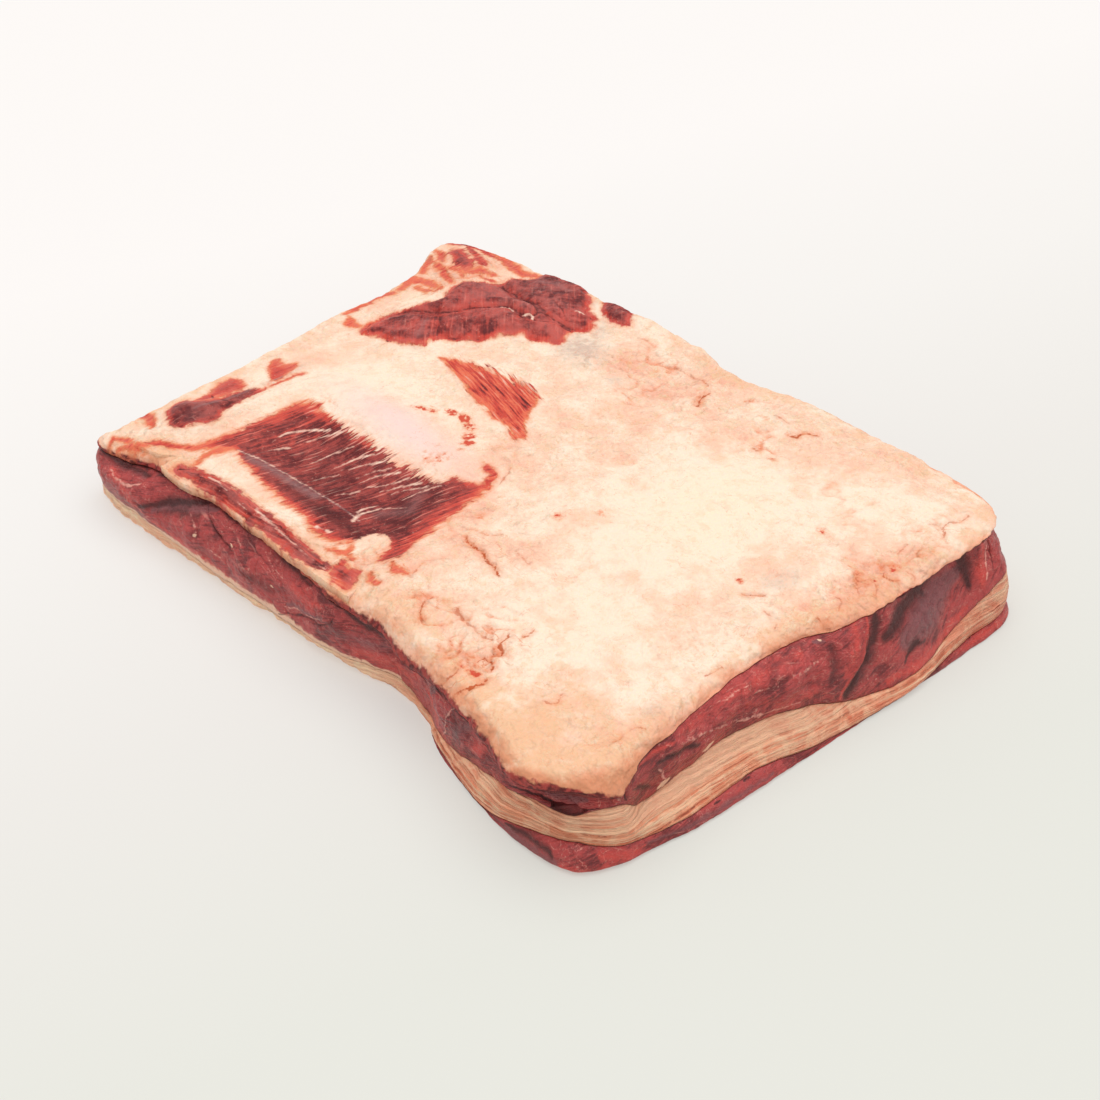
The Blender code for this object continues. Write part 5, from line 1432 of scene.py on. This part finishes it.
    # the lean: dark and mid fibres, brighter towards its edge, pale threads, silver skin, and painted shade
    # in its slits and grooves
    strands = fibre * 1.5 + coarse * 0.9
    grainy = strands * fibreShare + patchy * 1.3 + small * 0.9 + broad * 0.8
    fringe = (edge - feather * 0.3).step(3.4, 0.0) * 0.55 * tone.step(-0.6, 0.2)
    bright = tone + (thread * 2.6 + coarse * 1.6) * fibreShare + patchy * 1.2 + small * 0.5 + fringe
    hairs = (thread * 4.2 + coarse * 2.0 - depth * 0.045).step(0.12, 0.62) * feather.step(2.5, 6.5)
    slit = start.measure("shadedGrooves") * (1.0 + small * 2.0 + mottled * 1.4)
    pale = start.measure("paleFibre") + thread * 3.0 + small * 2.2
    flesh = overlaid(
        finish, finish["leanDark"],
        (grainy.step(-0.22, 0.26), "leanMid"),
        (bright.step(0.1, 1.0), "leanBright"),
        (bright.step(0.9, 1.6) * 0.85, "leanOrange"),
        ((patchy + mottled * 0.8 + broad).step(-0.2, 0.2) * dullness, "leanDull"),
        ((tone + strands * 0.4).step(-0.1, -0.6) * 0.6, "shadow"),
        (thread.step(0.11, 0.22) * 0.35 * fibreShare, "leanPale"),
        ((tiny + small * 0.6).step(0.15, 0.26) * 0.35, "leanPale"),
        (hairs * 0.75, "leanPale"),
        (start.measure("silverSkin") * (0.8 + fibre * 1.6 + small * 1.6), "silver"),
        (slit.step(0.25, 0.9) * 0.85, "shadow"),
        (pale.step(-0.5, 0.7) * 0.8, "leanPale"),
        (pale.step(0.6, 1.3) * 0.8, "cream"))

    # a height about zero in both, so that no step shows where they meet
    swell = place.noise(0.011, 2.0, 0.5) * 1.5 + place.noise(0.0046, 2.0, 0.5) * 1.1 + small * 0.08
    leanHeight = strands * fibreShare * 0.16 + small * 0.22 + patchy * 0.3 + tiny * 0.06
    height = mixedValue(leanShare, swell * (0.15 + lively * 0.85), leanHeight)
    roughness = mixedValue(leanShare, 0.48 + patchy * 0.3, 0.40 + small * 0.25)
    finishMaterial(shader, mixed(leanShare, fat, flesh), roughness, height, finish["relief"])
    return material


muscleFinish = {
    **shades(sideLight, deep=(62, 26, 26), dark=(110, 41, 42), mid=(170, 66, 64), bright=(200, 71, 63),
             pale=(224, 158, 142), silver=(124, 76, 78), cream=(236, 192, 162), slit=(54, 18, 18)),
    "wet": wetness(0.05, 0.3, 0.2, 0.0012, 0.4, **{"Coat Roughness": 0.2, "Coat Weight": 0.16}),
    "relief": 0.0015,
}


def muscleMaterial(name):
    finish = muscleFinish
    material, shader, start, place = newMaterial(name, finish["wet"])
    side = start.onSide()
    broad = place.noise(0.024, 4.0, 0.55, 0.5)
    patchy = place.noise(0.0075, 5.0, 0.6, 0.8)
    small = place.noise(0.0022, 4.0, 0.6)
    fibre = side.stretched(16, 0.011, 0.0009).noise(1.0, 4.0, 0.6, 0.2)
    thread = side.stretched(-14, 0.013, 0.0012).noise(1.0, 3.0, 0.6, 0.5)
    speckAndGlint = place.noise(0.0011, 3.0, 0.6) * 0.7 + small * 0.3
    marbling = abs(place.noise(0.010, 3.0, 0.6, 1.8)).step(0.012, 0.001) * patchy.step(-0.05, 0.1)
    blend = broad * 1.8 + patchy * 1.4 + fibre * 1.6
    silver = (start.measure("silver") + patchy * 0.9 + fibre * 0.5).step(0.0, 0.75)
    joint = start.measure("joint")
    colour = overlaid(
        finish, finish["dark"],
        (blend.step(-0.46, 0.14), "mid"),
        ((start.measure("red") + patchy * 1.5).step(-0.2, 0.9) * 0.85, "bright"),
        (blend.step(0.25, 0.6) * 0.45, "bright"),
        (thread.step(0.1, 0.24) * 0.35, "pale"),
        # pale specks, partly the flesh's own flecks and partly painted glints of wet shine
        (speckAndGlint.step(0.10, 0.20) * 0.25, "pale"),
        (marbling * 0.55, "pale"),
        (small.step(0.16, 0.26) * patchy.step(0.0, 0.15) * 0.5, "pale"),
        (silver * 0.8, "silver"),
        # dark marks: partly dark flesh, partly painted shade under the cap's lip and in folds, hollows and
        # grooves
        ((start.measure("dark") + patchy * 1.3 + fibre * 0.6).step(0.0, 0.9) * 0.9, "deep"),
        ((start.measure("pale") + small * 2.4 + patchy * 1.4).step(0.0, 0.9) * 0.8, "pale"),
        ((start.measure("cream") + small * 0.9 + patchy * 1.4).step(0.0, 0.5) * 0.9, "cream"),
        (joint, "mid"),
        # painted shade in the slits
        ((start.measure("slit") + small * 0.9).step(0.0, 0.9) * 0.95, "slit"))
    roughness = 0.38 + patchy * 0.3 - silver * 0.08
    height = (fibre * 0.6 + thread * 0.5 + 0.55) * (1.0 - joint) + small * 0.5 + patchy * 1.1
    finishMaterial(shader, colour, roughness, height, finish["relief"])
    return material


seamFinish = {
    **shades(sideLight, cream=(246, 191, 154), tan=(234, 152, 116), orange=(202, 102, 72),
             butter=(243, 187, 152), light=(250, 214, 178), pink=(204, 120, 102), shadow=(120, 52, 36)),
    "wet": wetness(0.08, 0.4, 0.25, 0.0016, 0.35),
    "relief": 0.0016,
}


def seamMaterial(name):
    finish = seamFinish
    material, shader, start, place = newMaterial(name, finish["wet"])
    side = start.onSide()
    strand = side.stretched(0, 0.055, 0.0017).noise(1.0, 4.0, 0.62, 0.5)
    band = side.stretched(0, 0.10, 0.004).noise(1.0, 3.0, 0.55, 0.3)
    patchy = place.noise(0.009, 5.0, 0.6, 0.5)
    small = place.noise(0.0022, 4.0, 0.6)
    smooth, edgeRed, joint = start.measure("smooth"), start.measure("edgeRed"), start.measure("joint")
    rough = 1 - smooth * 0.85
    colour = overlaid(
        finish, finish["cream"],
        ((band + patchy * 0.8).step(-0.14, 0.16), "tan"),
        (smooth, "butter"),
        ((start.measure("pinkness") + patchy * 0.8).step(0.2, 1.0) * 0.7, "pink"),
        (strand.step(-0.01, 0.11) * rough * patchy.step(-0.10, 0.06, 0.3, 1.0) * 0.78, "orange"),
        # painted shade in the grooves between the strands, and painted highlight on the raised strands
        (strand.step(0.10, 0.20) * rough * small.step(-0.08, 0.08) * 0.6, "shadow"),
        (strand.step(-0.05, -0.16) * rough * 0.6, "light"),
        (start.measure("lit") * (0.5 + patchy * 3.0), "light"),
        ((edgeRed + small * 0.8 * edgeRed).step(0.3, 0.9) * 0.7, "orange"),
        (joint, "cream"))
    height = (strand + 0.5) * -1.8 * (1.0 - joint) + small * 0.4 + patchy * 0.9
    finishMaterial(shader, colour, 0.45 + patchy * 0.3, height, finish["relief"])
    return material


cap.data.materials.append(capMaterial("cap fat", 74, 0.7, 0.3))
for name, skin in leanSkins.items():
    skins[name].data.materials.append(capMaterial(name.replace("_", " "), *skin["grain"]))
upperMuscle.data.materials.append(muscleMaterial("upper muscle"))
lowerMuscle.data.materials.append(muscleMaterial("lower muscle"))
seamFat.data.materials.append(seamMaterial("seam fat"))
for piece in (cap, *skins.values(), upperMuscle, seamFat, lowerMuscle):
    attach(piece, "root")
print("finishes made")

studio = {
    "azimuth": 45.0, "elevation": 38.0, "distance": 0.874, "target": (0.0497, -0.03844, 0.046),
    "focalPixels": 1900.0, "imagePixels": 1100.0, "sensorWidth": 36.0,
    "worldLight": 0.60, "worldColour": (1.0, 0.995, 0.99, 1.0),
    "sunLight": 1.92, "sunSpread": 80.0, "sunTilt": (-6.0, 0.0, 0.0),
    # the floor glows a little, so that shadows on it stay faint
    "floorSize": 6.0, "floorLight": 1.18, "glow": 0.5, "floorTurn": -16.0,
    # painted falloff of light across the floor, from bright at one end of its run to darker at the other: how
    # far along the floor's run each colour is reached, in metres
    "floorLightFalloff": (
        (-0.36, (252, 248, 245)), (-0.12, (246, 243, 239)), (0.05, (239, 236, 231)), (0.22, (233, 233, 225))),
}
scene = bpy.context.scene


def addObject(name, data):
    made = bpy.data.objects.new(name, data)
    scene.collection.objects.link(made)
    return made


azimuth, elevation = math.radians(studio["azimuth"]), math.radians(studio["elevation"])
back = Vector((math.sin(azimuth) * math.cos(elevation), -math.cos(azimuth) * math.cos(elevation),
               math.sin(elevation)))
camera = addObject("camera", bpy.data.cameras.new("camera"))
camera.data.sensor_width = studio["sensorWidth"]
camera.data.lens = studio["sensorWidth"] * studio["focalPixels"] / studio["imagePixels"]
camera.data.clip_end = 20.0
camera.location = Vector(studio["target"]) + back * studio["distance"]
camera.rotation_mode = "QUATERNION"
camera.rotation_quaternion = (-back).to_track_quat("-Z", "Y")
scene.camera = camera

scene.world = bpy.data.worlds.new("soft room")
scene.world.use_nodes = True
background = scene.world.node_tree.nodes["Background"].inputs
background["Color"].default_value = studio["worldColour"]
background["Strength"].default_value = studio["worldLight"]
sun = addObject("soft overhead light", bpy.data.lights.new("soft overhead light", "SUN"))
sun.data.energy = studio["sunLight"]
sun.data.angle = math.radians(studio["sunSpread"])
sun.rotation_euler = [math.radians(angle) for angle in studio["sunTilt"]]

half = studio["floorSize"] / 2
floorMesh = bpy.data.meshes.new("floor")
floorCorners = [(-half, -half, 0), (half, -half, 0), (half, half, 0), (-half, half, 0)]
floorMesh.from_pydata(floorCorners, [], [(0, 1, 2, 3)])
floor = addObject("floor", floorMesh)
floorMaterial, floorShader, floorWire, floorPlace = newMaterial("pale floor", {
    "Roughness": 0.9, "Specular IOR Level": 0.1, "Emission Strength": studio["glow"]})
across = floorWire.node("ShaderNodeSeparateXYZ", {}, {0: floorPlace.stretched(studio["floorTurn"], 1.0, 1.0)})
runs = studio["floorLightFalloff"]
base = reflects(*runs[0][1])
for (start, _), (stop, shade) in zip(runs[:-1], runs[1:]):
    share = across.node("ShaderNodeMapRange", {}, {0: across, 1: start, 2: stop})
    base = mixed(share, base, reflects(*shade))
dimmed = floorWire.node("ShaderNodeVectorMath", {"operation": "SCALE"},
                        {0: base, "Scale": (1 - studio["glow"]) / studio["floorLight"]})
floorWire.tree.links.new(dimmed.socket, floorShader.inputs["Base Color"])
floorWire.tree.links.new(base.socket, floorShader.inputs["Emission Color"])
floorMesh.materials.append(floorMaterial)

scene.view_settings.view_transform = "Standard"
scene.view_settings.look = "None"
scene.view_settings.exposure = 0.0
scene.view_settings.gamma = 1.0
print("studio ready")
